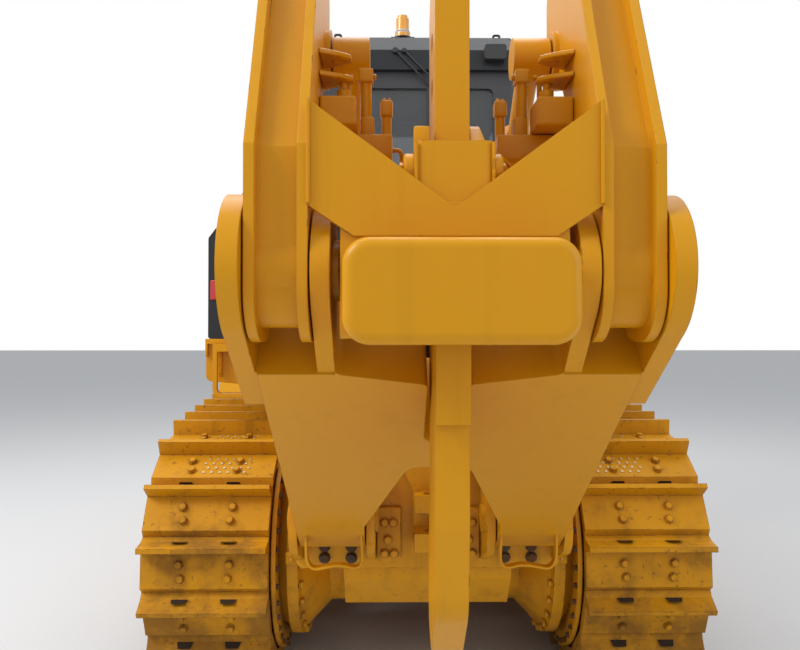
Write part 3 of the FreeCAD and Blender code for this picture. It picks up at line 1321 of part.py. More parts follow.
def edge_outline():
    """Section of the cutting edge under the face."""
    foot = BLADE_FOOT
    return rounded_loop([
        (foot - S.blade_plate - 4, EDGE_TOP), (foot, EDGE_TOP), (foot + 85, S.blade_clearance),
        (foot + 45, S.blade_clearance),
    ])


def across_blade(name, outline):
    """An outline carried across the straight middle and both wings, which meet it in mitres."""
    half = S.blade_centre_width / 2
    tip = S.blade_width / 2
    turn = math.atan2(S.blade_wing_lead, tip - half)
    rear, front = S.blade_back - 100, S.blade_back + 1000

    def mitre(ahead):
        return half - (ahead - S.blade_back) * math.tan(turn / 2)

    def trimmed(piece, plan):
        region = new_body(piece.Name + "_plan")
        pad_z(region, [polygon([V(x, y, 0) for x, y in plan])], -10, S.blade_height + 50)
        return common(piece.Name + "_trimmed", piece, region)

    middle = new_body(name + "_middle")
    pad_x(middle, [outline()], -half - 300, half + 300)
    wing = new_body(name + "_wing")
    pad_x(wing, [outline()], -600, tip)
    corner = V(half, S.blade_back, 0)
    around = FreeCAD.Rotation(V(0, 0, 1), math.degrees(turn))
    wing.Placement = FreeCAD.Placement(corner - around.multVec(V(0, S.blade_back, 0)), around)
    wing_right = trimmed(wing, [(mitre(rear), rear), (tip, rear), (tip, front), (mitre(front), front)])
    return [
        trimmed(middle, [(-mitre(rear), rear), (mitre(rear), rear), (mitre(front), front), (-mitre(front), front)]),
        wing_right,
        mirrored(wing_right, name + "_wing_left"),
    ]


def make_blade():
    face = across_blade("blade_face", blade_face_outline)
    ribs = new_body("blade_ribs")
    back, top = S.blade_back, S.blade_height
    half = S.blade_centre_width / 2
    rib = rounded_loop([
        (BLADE_FOOT - 20, EDGE_TOP + 15), (back + 60, EDGE_TOP + 30), (back, EDGE_TOP + 110), (back, top - 170),
        (BLADE_FOOT - 50, top - 12),
    ])
    for x in (60 - half, -1020, -340, 340, 1020, half - 60):
        pad_x(ribs, [rib], x - 14, x + 14)
    for low, high, depth in ((EDGE_TOP + 60, EDGE_TOP + 330, 60), (top - 330, top - 130, 40)):
        pad_x(ribs, [rounded_loop([
            (back, low), (back + depth + 110, low), (back + depth + 60, high), (back, high)])], 60 - half, half - 60)
    arm_low = SHOE_OUTSIDE + S.push_arm_gap
    arm_high = arm_low + S.push_arm_width
    height = S.trunnion_height
    for side in (1, -1):
        x_low, x_high = sorted((side * arm_low, side * arm_high))
        for low, high in ((height - 120, height + 130), (1150, 1330)):
            pad_x(ribs, [rounded_loop([
                (back, low), (back + 240, low - 60), (back + 240, high + 60), (back, high)])], x_low, x_high)
        eye_low, eye_high = ear_pair(side * S.blade_cylinder_side, 90)
        for x in (eye_low, eye_high):
            pad_x(ribs, [rounded_loop([
                (back + 30, 440), (S.blade_eye_ahead - 74, S.blade_eye_height - 74, 73),
                (S.blade_eye_ahead - 74, S.blade_eye_height + 74, 73), (back + 30, 780),
            ])], x, x + S.ear_thickness)
    keep("blade", fused("blade", face + [ribs]))
    keep("cutting_edge", fused("cutting_edge", across_blade("cutting_edge", edge_outline)))


def make_push_arms():
    arm = new_body("push_arm")
    low = SHOE_OUTSIDE + S.push_arm_gap
    high = low + S.push_arm_width
    half = S.push_arm_height / 2
    z, y = S.trunnion_height, S.trunnion_ahead
    pad_x(arm, [rounded_loop([
        (y - 140, z - 120, 118), (S.blade_back, z - half - 10), (S.blade_back, z + half + 15), (y - 140, z + 120, 118),
    ])], low, high)
    pocket_x(arm, [circle(y, z, BALL_RADIUS + S.run_gap)], low - 10, high + 10)
    both_sides(arm, "push_arms")
    brace_side = (low + high) / 2
    foot_y, head_z = 2680, 1240
    arm_top = z + half + 15
    foot = slab("brace_foot", V(brace_side - 45, foot_y - 70, arm_top), V(brace_side + 45, foot_y + 70, arm_top + 80))
    head = slab("brace_head", V(brace_side - 45, S.blade_back - 90, head_z - 55),
                V(brace_side + 45, S.blade_back, head_z + 55))
    bar = tube("brace_bar", V(brace_side, foot_y, arm_top + 50), V(brace_side, S.blade_back - 30, head_z), 46)
    sleeve = tube("brace_sleeve", V(brace_side, foot_y + 160, arm_top + 50 + 160 * 0.37),
                  V(brace_side, foot_y + 700, arm_top + 50 + 700 * 0.37), 68)
    both_sides(fused("blade_brace", [foot, head, bar, sleeve]), "blade_braces")



def make_blade_cylinders():
    trunnion = V(0, S.blade_cylinder_ahead, S.blade_cylinder_height)
    eye = V(0, S.blade_eye_ahead, S.blade_eye_height)
    barrel = new_body("blade_barrel")
    below, above = 375, 1120
    pad_z(barrel, [circle(0, 0, S.blade_barrel_radius)], -above, below)
    pad_z(barrel, [circle(0, 0, S.blade_barrel_radius + 6)], below - 80, below)
    pad_z(barrel, [box(-BLADE_COLLAR_HALF, BLADE_COLLAR_HALF, -70, 70, 20)], -70, 70)
    pad_x(barrel, [circle(0, 0, BLADE_TRUNNION_RADIUS)], -BLADE_COLLAR_HALF - 26, BLADE_COLLAR_HALF + 26)
    pocket(barrel, "XY_Plane", [circle(0, 0, S.blade_rod_radius + 1)], 30 - above, above + below)
    lay_along(barrel, S.blade_cylinder_side, trunnion, eye)
    both_sides(barrel, "blade_barrels")
    rod = make_rod("blade_rod", S.blade_rod_radius, 1520, 90)
    lay_along(rod, S.blade_cylinder_side, eye, trunnion)
    both_sides(rod, "blade_rods")


for make in (make_hood, make_radiator_guard, make_stacks, make_cab, make_cab_inside, make_doors,
             make_tank, make_fenders, make_lamps, make_blade, make_push_arms, make_blade_cylinders):
    make()

# PLACE AND WRITE

doc.recompute()
whole = FreeCAD.BoundBox()
for node in NODES.values():
    whole.add(node.Shape.BoundBox)
# the origin lies on the ground, under the middle of the whole machine
ORIGIN_SHIFT = -(whole.YMin + whole.YMax) / 2
for node in NODES.values():
    if node.TypeId != "Part::Mirroring":
        node.Placement.Base = node.Placement.Base + V(0, ORIGIN_SHIFT, 0)
doc.recompute()

failed = [thing.Label for thing in doc.Objects if {"Invalid", "Error"} & set(thing.State)]
failed += [name for name, node in NODES.items() if node.Shape.isNull() or not node.Shape.isValid()]
if failed:
    raise RuntimeError(f"not built: {failed}")
for name, node in NODES.items():
    node.Shape.exportStep(f"parts/{name}.step")
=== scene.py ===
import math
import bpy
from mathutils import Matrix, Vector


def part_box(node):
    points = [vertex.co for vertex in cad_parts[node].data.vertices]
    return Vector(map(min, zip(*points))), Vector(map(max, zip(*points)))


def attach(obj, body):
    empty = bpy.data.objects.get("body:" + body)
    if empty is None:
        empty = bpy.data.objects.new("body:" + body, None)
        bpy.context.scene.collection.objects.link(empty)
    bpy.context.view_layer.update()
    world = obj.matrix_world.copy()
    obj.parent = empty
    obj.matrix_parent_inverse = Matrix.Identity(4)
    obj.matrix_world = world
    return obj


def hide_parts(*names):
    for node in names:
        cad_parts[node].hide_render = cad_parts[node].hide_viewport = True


bl_info = {
    "name": "Crawler Bulldozer Looks",
    "version": (1, 0, 0),
    "blender": (4, 5, 0),
    "location": "View3D > Sidebar > Bulldozer",
    "description": "Finishes, small fittings and a studio for the packed bulldozer",
    "category": "Add Mesh",
}

import bpy
from mathutils import Matrix, Vector

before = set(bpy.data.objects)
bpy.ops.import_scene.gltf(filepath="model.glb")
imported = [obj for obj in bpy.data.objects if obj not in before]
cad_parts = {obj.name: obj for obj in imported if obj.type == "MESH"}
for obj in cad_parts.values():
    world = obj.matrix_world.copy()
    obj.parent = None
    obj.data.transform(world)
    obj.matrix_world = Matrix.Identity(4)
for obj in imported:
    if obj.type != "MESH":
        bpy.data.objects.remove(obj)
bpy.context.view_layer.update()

# The drawing of the machine is in millimetres, from the ground below the sprocket axle,
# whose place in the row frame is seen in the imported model.
SPROCKET_LOW, SPROCKET_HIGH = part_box("sprockets")
AXLE_Y = (SPROCKET_LOW.y + SPROCKET_HIGH.y) / 2
AXLE_HEIGHT = 670
LIFT_ROD_EYE = (0, -1426, 1883)
BLADE_ROD_EYE = (0, 3710, 600)

# SETTINGS


def colour_setting(name, description, default):
    return bpy.props.FloatVectorProperty(
        name=name, description=description, subtype="COLOR", size=3, min=0, max=1, default=default)


def length_setting(name, description, default, low, high):
    return bpy.props.FloatProperty(
        name=name, description=description, unit="LENGTH", default=default, min=low, max=high)


class FinishSettings(bpy.types.PropertyGroup):
    """Colours and wear of the whole machine."""

    yellow: colour_setting("Yellow paint", "Colour of the repainted steel", (0.66, 0.295, 0.003))
    dark: colour_setting("Dark paint", "Colour of the tank and the cab's roof", (0.020, 0.022, 0.025))
    cab: colour_setting("Cab paint", "Colour of the cab's walls and doors", (0.062, 0.062, 0.068))
    # this dust colour is also laid into corners and recesses as painted shade
    dust_and_corner_shade: colour_setting("Dust", "Colour of the dry soil on the tracks", (0.19, 0.088, 0.024))
    rust: colour_setting("Rust", "Colour of rust and bare brown steel", (0.085, 0.032, 0.014))
    wear: bpy.props.FloatProperty(
        name="Wear", description="How much paint is rubbed off the tracks", subtype="FACTOR",
        min=0, max=1, default=0.5)


class FittingSettings(bpy.types.PropertyGroup):
    """Sizes of the small fittings."""

    shoe_bolt: length_setting("Shoe bolt", "Width of a track bolt's head", 0.034, 0.01, 0.08)
    frame_bolt: length_setting(
        "Frame bolt", "Width of a bolt head on the frame and the final drives", 0.034, 0.01, 0.08)


class StudioSettings(bpy.types.PropertyGroup):
    """Camera and light."""

    lens: bpy.props.FloatProperty(
        name="Lens", description="Focal length of the camera in millimetres", default=35.1, min=10, max=200)
    eye_height: length_setting("Eye height", "Height of the camera above the ground", 1.8, 0.1, 10)
    distance: length_setting("Distance", "From the camera to the sprocket axle", 4.34, 1, 40)
    key_power: bpy.props.FloatProperty(
        name="Key light", description="Power of the large lamp", unit="POWER", default=420, min=0, max=9000)


# SHADER NODES


def fill_in(tree, node, inputs):
    """Sets a node's inputs, given as values or as sockets to link."""
    for name, value in inputs.items():
        if isinstance(value, bpy.types.NodeSocket):
            tree.links.new(value, node.inputs[name])
        else:
            node.inputs[name].default_value = value


def add_node(tree, kind, inputs=None, **settings):
    """A shader node to the right of the last one, with its settings and inputs."""
    node = tree.nodes.new(kind)
    node.location = (200 * len(tree.nodes), 0)
    for name, value in settings.items():
        setattr(node, name, value)
    fill_in(tree, node, inputs or {})
    return node


def sums(tree, operation, *values, clamp=False):
    """The result of a math node."""
    inputs = dict(enumerate(values))
    return add_node(tree, "ShaderNodeMath", inputs, operation=operation, use_clamp=clamp).outputs[0]


def vector_sums(tree, operation, *values):
    """A vector math node."""
    return add_node(tree, "ShaderNodeVectorMath", dict(enumerate(values)), operation=operation)


def soft_step(tree, value, start, end):
    """0 up to the start mark and 1 beyond the end mark, smooth between them."""
    inputs = {"Value": value, "From Min": start, "From Max": end}
    return add_node(tree, "ShaderNodeMapRange", inputs, interpolation_type="SMOOTHSTEP").outputs["Result"]


def noise(tree, place, scale, **inputs):
    return add_node(tree, "ShaderNodeTexNoise", {"Vector": place, "Scale": scale, **inputs}).outputs["Fac"]


def bumped(tree, height, strength, distance, **inputs):
    inputs = {"Height": height, "Strength": strength, "Distance": distance, **inputs}
    return add_node(tree, "ShaderNodeBump", inputs).outputs["Normal"]


def object_place(tree):
    return add_node(tree, "ShaderNodeTexCoord").outputs["Object"]


def new_group(name, inputs, outputs):
    """A shader group with numbers as inputs, and the sockets that bring them in."""
    group = bpy.data.node_groups.new(name, "ShaderNodeTree")
    for label, default in inputs.items():
        socket = group.interface.new_socket(name=label, in_out="INPUT", socket_type="NodeSocketFloat")
        socket.default_value = default
    for label, kind in outputs.items():
        group.interface.new_socket(name=label, in_out="OUTPUT", socket_type=kind)
    return group, add_node(group, "NodeGroupInput").outputs


def make_grime_and_shade_group():
    """Patches of soil and streaks, more of them near the ground, and a corner mask from ambient occlusion that lays
    soil colour into corners: gathered soil and painted shade.
    """
    group, given = new_group(
        "SoilStreaksAndCornerShade", {"Amount": 0.5, "Scale": 3.0, "Ground Height": 1.2, "Corner Depth": 0.12},
        dict.fromkeys(("Soil", "Streaks", "Corner Soil And Shade", "Speckle"), "NodeSocketFloat"))
    place = object_place(group)
    patches = noise(group, place, given["Scale"], Detail=8, Roughness=0.62)
    split = add_node(group, "ShaderNodeSeparateXYZ", {0: place})
    height = sums(group, "DIVIDE", split.outputs["Z"], given["Ground Height"])
    low = sums(group, "SUBTRACT", 1.0, height, clamp=True)
    patches = sums(group, "MULTIPLY_ADD", low, 0.35, patches)
    limit = sums(group, "MULTIPLY_ADD", given["Amount"], -0.45, 0.82)
    soil = soft_step(group, patches, limit, sums(group, "ADD", limit, 0.22))
    # streaks run down the walls, so their noise is drawn out along Z
    squeezed = vector_sums(group, "MULTIPLY", place, (14, 14, 0.9)).outputs[0]
    streaks = soft_step(group, noise(group, squeezed, 1.0, Detail=4), 0.52, 0.78)
    # ambient occlusion marks corners and recesses, where the soil colour is laid both as gathered soil and as
    # painted shade
    corner = add_node(group, "ShaderNodeAmbientOcclusion", {"Distance": given["Corner Depth"]}, samples=6)
    corners = soft_step(group, corner.outputs["AO"], 0.75, 0.30)
    add_node(group, "NodeGroupOutput", {
        "Soil": soil, "Streaks": streaks,
        "Corner Soil And Shade": sums(group, "MULTIPLY", corners, given["Amount"], clamp=True),
        "Speckle": soft_step(group, noise(group, place, 42, Detail=6), 0.60, 0.72)})
    return group


def make_edge_group():
    """Rounded and rubbed edges: a normal that softens corners, and a mask of where paint is gone."""
    group, given = new_group(
        "EdgeWear", {"Radius": 0.008, "Rubbed": 0.3, "Waviness": 0.1},
        {"Normal": "NodeSocketVector", "Worn": "NodeSocketFloat"})
    place = object_place(group)
    rounded = add_node(group, "ShaderNodeBevel", {"Radius": given["Radius"]}, samples=4).outputs["Normal"]
    flat = add_node(group, "ShaderNodeNewGeometry").outputs["Normal"]
    turn = vector_sums(group, "DOT_PRODUCT", rounded, flat).outputs["Value"]
    limit = sums(group, "SUBTRACT", 0.86, given["Rubbed"])
    chipped = sums(group, "GREATER_THAN", noise(group, place, 16, Detail=7), limit)
    worn = sums(group, "MULTIPLY", soft_step(group, turn, 0.985, 0.86), chipped, clamp=True)
    waves = noise(group, place, 5, Detail=3)
    add_node(group, "NodeGroupOutput", {
        "Normal": bumped(group, waves, given["Waviness"], 0.02, Normal=rounded), "Worn": worn})
    return group


# MAKING PIECES

UP, DOWN, REAR, FRONT = (0, 0, 1), (0, 0, -1), (0, -1, 0), (0, 1, 0)
RIGHT, LEFT = (1, 0, 0), (-1, 0, 0)
SIDES = (1, -1)
RING_SIDES = 28
RIM_ANGLE = math.radians(60)
SMOOTH_ANGLE = math.radians(38)
WELD_DISTANCE = 0.00002


def row(x, y, z):
    """A place on the drawing, in millimetres, as a place in the row frame, in metres."""
    return Vector((x / 1000, y / 1000 + AXLE_Y, z / 1000))


def rows(*points):
    return [row(*point) for point in points]


def ahead_of_axle(place):
    """How far ahead of the sprocket axle a place in the row frame lies, in millimetres."""
    return (place.y - AXLE_Y) * 1000


def chosen(*pieces):
    """Selects these pieces alone, the first of them active."""
    bpy.ops.object.select_all(action="DESELECT")
    for piece in pieces:
        piece.select_set(True)
    bpy.context.view_layer.objects.active = pieces[0]


def baked(piece):
    """Puts a piece's place, turn and size into its mesh."""
    chosen(piece)
    bpy.ops.object.transform_apply(location=True, rotation=True, scale=True)
    return piece


def opened(piece, kind="VERT", action="SELECT"):
    """Opens a piece alone for editing, with all or none of it selected."""
    chosen(piece)
    bpy.ops.object.mode_set(mode="EDIT")
    bpy.ops.mesh.select_mode(type=kind)
    bpy.ops.mesh.select_all(action=action)
    return piece


def closed(piece):
    bpy.ops.object.mode_set(mode="OBJECT")
    return piece


def open_faces(piece, test):
    """Opens a piece for editing, with the faces that pass a test selected."""
    closed(opened(piece, "FACE", "DESELECT"))
    for face in piece.data.polygons:
        face.select = test(face)
    bpy.ops.object.mode_set(mode="EDIT")


def bevel_edges(width, segments=1, clamp_overlap=False):
    bpy.ops.mesh.bevel(offset=width, offset_type="OFFSET", segments=segments, affect="EDGES",
                       clamp_overlap=clamp_overlap)


def bevelled(piece, width, segments=2):
    if width:
        opened(piece)
        bevel_edges(width, segments, clamp_overlap=True)
        closed(piece)
    return piece


def block(corner, opposite, bevel=0.004, segments=2):
    """A box between two opposite corners on the drawing, in millimetres."""
    corner, opposite = row(*corner), row(*opposite)
    bpy.ops.mesh.primitive_cube_add(size=1, location=(corner + opposite) / 2)
    piece = bpy.context.object
    piece.scale = [abs(length) for length in opposite - corner]
    return bevelled(baked(piece), bevel, segments)


def disc(place, direction, radius, depth, bevel=0.002, sides=24):
    """A round piece that starts at a place and runs along a direction."""
    along = Vector(direction).normalized()
    bpy.ops.mesh.primitive_cylinder_add(
        vertices=sides, radius=radius, depth=depth, location=Vector(place) + along * depth / 2,
        rotation=along.to_track_quat("Z", "Y").to_euler())
    piece = baked(bpy.context.object)
    if bevel:
        open_faces(piece, lambda face: len(face.vertices) == sides and abs(face.normal.dot(along)) > 0.99)
        bpy.ops.mesh.region_to_loop()
        bevel_edges(bevel)
        closed(piece)
    return piece


def ring(place, direction, radius, hole, depth):
    """A flat ring, made by drawing a disc's faces in and opening them."""
    piece = disc(place, direction, radius, depth, bevel=0, sides=RING_SIDES)
    open_faces(piece, lambda face: len(face.vertices) == RING_SIDES)
    bpy.ops.mesh.inset(thickness=radius - hole, depth=0, use_even_offset=True)
    bpy.ops.mesh.bridge_edge_loops()
    opened(closed(piece), "EDGE", "DESELECT")
    bpy.ops.mesh.edges_select_sharp(sharpness=RIM_ANGLE)
    bevel_edges(0.15 * depth)
    return closed(piece)


def vertex_path(points, filled=False):
    """A chain of edges through these points, or the face inside it."""
    points = [Vector(point) for point in points]
    bpy.ops.mesh.primitive_plane_add(size=0.01, location=points[0])
    piece = opened(baked(bpy.context.object))
    bpy.ops.mesh.merge(type="CENTER")
    for before, after in zip(points, points[1:]):
        bpy.ops.mesh.extrude_vertices_move(TRANSFORM_OT_translate={"value": after - before})
    if filled:
        bpy.ops.mesh.select_all(action="SELECT")
        bpy.ops.mesh.edge_face_add()
    return closed(piece)


def plate(points, depth, bevel=0.0):
    """A flat outline, made solid along a direction and length."""
    piece = opened(vertex_path(points, filled=True))
    bpy.ops.mesh.extrude_region_move(TRANSFORM_OT_translate={"value": Vector(depth)})
    bpy.ops.mesh.select_all(action="SELECT")
    bpy.ops.mesh.normals_make_consistent(inside=False)
    return bevelled(closed(piece), bevel, 1)


def strip(points, across, thickness):
    """A bent flat bar: a path drawn out sideways and made solid."""
    piece = opened(vertex_path(points), "EDGE")
    bpy.ops.mesh.extrude_edges_move(TRANSFORM_OT_translate={"value": Vector(across)})
    closed(piece)
    solid = piece.modifiers.new("thickness", "SOLIDIFY")
    solid.thickness = thickness
    solid.offset = 0
    solid.use_even_offset = True
    bpy.ops.object.modifier_apply(modifier=solid.name)
    return bevelled(piece, thickness * 0.18, 1)


def rounded_path(points, radius, steps=4):
    """The same path with its corners rounded off."""
    path = [points[0]]
    for before, corner, after in zip(points, points[1:], points[2:]):
        into, out_of = before - corner, after - corner
        start = corner + into.normalized() * min(radius, into.length * 0.49)
        end = corner + out_of.normalized() * min(radius, out_of.length * 0.49)
        for step in range(steps + 1):
            share = step / steps
            path.append(start.lerp(corner, share).lerp(corner.lerp(end, share), share))
    return path + [points[-1]]


def pipe(points, radius, bend=0.03, resolution=2):
    """A round bar or pipe along a path with rounded corners."""
    vertex_path(rounded_path(points, bend))
    bpy.ops.object.convert(target="CURVE")
    curve = bpy.context.object.data
    curve.bevel_depth = radius
    curve.bevel_resolution = resolution
    curve.use_fill_caps = True
    bpy.ops.object.convert(target="MESH")
    return bpy.context.object


def joined(pieces):
    if len(pieces) > 1:
        chosen(*pieces)
        bpy.ops.object.join()
    return pieces[0]


def twin_of(piece):
    """A copy with its own mesh."""
    twin = piece.copy()
    twin.data = piece.data.copy()
    bpy.context.scene.collection.objects.link(twin)
    return twin


def copies(prototype, places):
    """One piece made of copies of a prototype at the given matrices."""
    made = []
    for place in places:
        twin = twin_of(prototype)
        twin.matrix_world = place
        made.append(twin)
    bpy.data.objects.remove(prototype, do_unlink=True)
    return baked(joined(made))


def and_mirrored(piece):
    """The piece and its mirror image across the middle of the machine, as one."""
    twin = twin_of(piece)
    twin.scale = (-1, 1, 1)
    return joined([piece, baked(twin)])


def settle(piece, name, finish, slot, body="machine", smooth=False):
    """Finishes a piece: its mesh, name, finish and body. The material slot is not used."""
    opened(baked(piece))
    bpy.ops.mesh.remove_doubles(threshold=WELD_DISTANCE)
    bpy.ops.mesh.normals_make_consistent(inside=False)
    closed(piece)
    if smooth:
        bpy.ops.object.shade_smooth_by_angle(angle=SMOOTH_ANGLE)
    piece.name = name
    piece.data.name = name
    piece.data.materials.clear()
    piece.data.materials.append(FINISH[finish])
    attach(piece, body)
    return piece


def facing(place, outward, up=UP):
    """A matrix that sets a prototype drawn along +Z at a place, facing outward."""
    forward = Vector(outward).normalized()
    side = Vector(up).cross(forward).normalized()
    turn = Matrix((side, forward.cross(side), forward)).transposed().to_4x4()
    return Matrix.Translation(Vector(place)) @ turn


def bolts(width, places):
    """Hexagon heads on washers, as one piece."""
    washer = disc((0, 0, 0), UP, width * 0.66, width * 0.12, bevel=0, sides=12)
    head = disc((0, 0, width * 0.12), UP, width * 0.56, width * 0.5, bevel=width * 0.07, sides=6)
    return copies(joined([head, washer]), places)


# FINISHES

GROUPS = {}
FINISH = {}
FADED_SOIL = (0.16, 0.13, 0.10)
CHROME = (0.62, 0.62, 0.64)
ROD_EYE_RADIUS = 0.085
STREAK_SHADE = 0.62
GRAIN_SHADE = 0.75

# Finish and material slot of the pieces added here.
YELLOW = ("yellow_enamel", "yellow_paint")
LOW_YELLOW = ("yellow_low", "yellow_paint")
BROWN = ("brown_steel", "worn_steel")
BLACK = ("black_enamel", "dark_paint")
PLASTIC = ("dark_plastic", "black_plastic")
RUBBER = ("black_rubber", "black_plastic")


def darkened(colour, share):
    return tuple(part * share for part in colour)


def as_input(colour):
    """A colour in the form that a colour socket takes."""
    return colour if isinstance(colour, bpy.types.NodeSocket) else (*colour, 1)


def mix_in(tree, below, colour, mask):
    """Lays a colour over what is below, where the mask says so."""
    inputs = {"A": as_input(below), "B": as_input(colour), "Factor": mask}
    return add_node(tree, "ShaderNodeMix", inputs, data_type="RGBA").outputs["Result"]


def new_finish(name):
    """A new material's node tree."""
    material = bpy.data.materials.new(name)
    material.use_nodes = True
    FINISH[name] = material
    return material.node_tree


def set_shader(tree, colour, inputs):
    fill_in(tree, tree.nodes["Principled BSDF"], {"Base Color": as_input(colour), **inputs})


def weathered(name, colour, soil, bare, amount, roughness, ground=1.2, rubbed=0.3, metallic=0.0, coat=0.0,
              streaks=0.3, speckle=0.2, corners=0.7, edge=0.006, waves=0.06):
    """Painted or bare steel with rubbed edges, streaks and soil, and the soil colour laid into corners as soil and
    painted shade.
    """
    tree = new_finish(name)
    grime = add_node(tree, "ShaderNodeGroup", {"Amount": amount, "Ground Height": ground},
                     node_tree=GROUPS["soil"]).outputs
    wear = add_node(tree, "ShaderNodeGroup", {"Radius": edge, "Rubbed": rubbed, "Waviness": waves},
                    node_tree=GROUPS["edges"]).outputs
    tone = colour
    # the corner layer lays the soil colour into corners and recesses: soil that gathers there, and painted shade
    for layer, mask, strength in (
            (darkened(colour, STREAK_SHADE), "Streaks", streaks), (bare, "Speckle", speckle),
            (soil, "Corner Soil And Shade", corners), (soil, "Soil", min(1, amount * 1.6))):
        tone = mix_in(tree, tone, layer, sums(tree, "MULTIPLY", grime[mask], strength, clamp=True))
    tone = mix_in(tree, tone, bare, wear["Worn"])
    set_shader(tree, tone, {
        "Roughness": sums(tree, "MULTIPLY_ADD", grime["Soil"], 0.45, roughness, clamp=True), "Metallic": metallic,
        "Coat Weight": coat, "Coat Roughness": 0.15, "Specular IOR Level": 0.22, "Normal": wear["Normal"]})


def plain(name, colour, roughness, metallic=0.0, coat=0.0, grain=0.0, grain_scale=300.0):
    """One colour with a fine grain, which can also stand out of the surface."""
    tree = new_finish(name)
    speckle = noise(tree, object_place(tree), grain_scale)
    inputs = {"Roughness": roughness, "Metallic": metallic, "Coat Weight": coat}
    if grain:
        inputs["Normal"] = bumped(tree, speckle, grain, 0.002)
    set_shader(tree, mix_in(tree, colour, darkened(colour, GRAIN_SHADE), speckle), inputs)


def rod_finish(name, eye, paint):
    """Hard chrome, with paint on what lies within the eye's radius of its pin, which runs along X."""
    tree = new_finish(name)
    from_eye = vector_sums(tree, "SUBTRACT", object_place(tree), eye).outputs[0]
    flat = vector_sums(tree, "MULTIPLY", from_eye, (0, 1, 1)).outputs[0]
    rod = sums(tree, "GREATER_THAN", vector_sums(tree, "LENGTH", flat).outputs["Value"], ROD_EYE_RADIUS)
    set_shader(tree, mix_in(tree, paint, CHROME, rod), {"Metallic": rod, "Roughness": 0.22})


def fabric_finish(name):
    """Dark cloth with two sets of threads."""
    tree = new_finish(name)
    inputs = {"Vector": object_place(tree), "Scale": 190}
    threads = [add_node(tree, "ShaderNodeTexWave", inputs, bands_direction=direction) for direction in "XZ"]
    weave = sums(tree, "MAXIMUM", *(thread.outputs["Fac"] for thread in threads))
    tone = mix_in(tree, (0.012, 0.012, 0.014), (0.045, 0.045, 0.05), weave)
    set_shader(tree, tone, {"Roughness": 0.85, "Normal": bumped(tree, weave, 0.4, 0.001)})


def make_finishes(finish):
    GROUPS["soil"] = make_grime_and_shade_group()
    GROUPS["edges"] = make_edge_group()
    soil, rust, yellow = tuple(finish.dust_and_corner_shade), tuple(finish.rust), tuple(finish.yellow)
    weathered("yellow_enamel", yellow, soil, rust, 0.10, 0.36, ground=0.6, rubbed=0.22, coat=0.08,
              streaks=0.16, speckle=0.03, corners=0.6)
    weathered("yellow_track", darkened(yellow, 0.92), soil, rust, 0.46, 0.5, ground=1.3,
              rubbed=0.32 + 0.2 * finish.wear, streaks=0.6, speckle=0.55, corners=1.0, edge=0.005, waves=0.15)
    weathered("yellow_low", yellow, soil, rust, 0.36, 0.42, ground=1.0, coat=0.05, streaks=0.4, speckle=0.25,
              corners=0.9)
    weathered("brown_steel", (0.075, 0.042, 0.026), soil, (0.20, 0.17, 0.15), 0.55, 0.55, rubbed=0.35,
              metallic=0.35, streaks=0.4, speckle=0.5)
    weathered("black_enamel", tuple(finish.dark), FADED_SOIL, (0.05, 0.05, 0.05), 0.18, 0.38, ground=0.9,
              rubbed=0.15, coat=0.2, streaks=0.2, speckle=0.05, corners=0.3)
    weathered("cab_enamel", tuple(finish.cab), FADED_SOIL, (0.03, 0.03, 0.03), 0.15, 0.4, ground=0.9,
              rubbed=0.12, coat=0.15, streaks=0.2, speckle=0.04, corners=0.3)
    weathered("bare_edge", (0.24, 0.22, 0.20), soil, rust, 0.4, 0.38, ground=1.0, metallic=0.8, streaks=0.5,
              speckle=0.4)
    weathered("scorched_steel", (0.05, 0.042, 0.038), (0.10, 0.045, 0.02), rust, 0.35, 0.6, ground=1.0,
              rubbed=0.2, metallic=0.4)
    rod_finish("lift_rod_steel", row(*LIFT_ROD_EYE), yellow)
    rod_finish("blade_rod_steel", row(*BLADE_ROD_EYE), yellow)
    # dark brown for the plates that paint the shade in the shoes' cut-outs
    plain("painted_recess_shade", (0.030, 0.016, 0.008), 0.9, grain=0.6, grain_scale=120)
    plain("rubbed_stud", (0.62, 0.50, 0.26), 0.35, metallic=0.3)
    plain("display_glass", (0.010, 0.012, 0.014), 0.08)
    plain("black_rubber", (0.018, 0.018, 0.019), 0.72, grain=0.3)
    plain("dark_plastic", (0.03, 0.031, 0.033), 0.55, grain=0.25, grain_scale=600)
    plain("lamp_silver", (0.75, 0.76, 0.78), 0.2, metallic=0.9)
    plain("white_plastic", (0.7, 0.7, 0.68), 0.4)
    plain("red_lens", (0.62, 0.010, 0.012), 0.14, coat=0.6, grain=0.5, grain_scale=160)
    plain("amber_lens", (0.95, 0.40, 0.015), 0.16, coat=0.6, grain=0.5, grain_scale=160)
    set_shader(new_finish("window_glass"), (0.34, 0.36, 0.37), {
        "Roughness": 0.05, "Transmission Weight": 0.87, "IOR": 1.45})
    fabric_finish("woven_fabric")


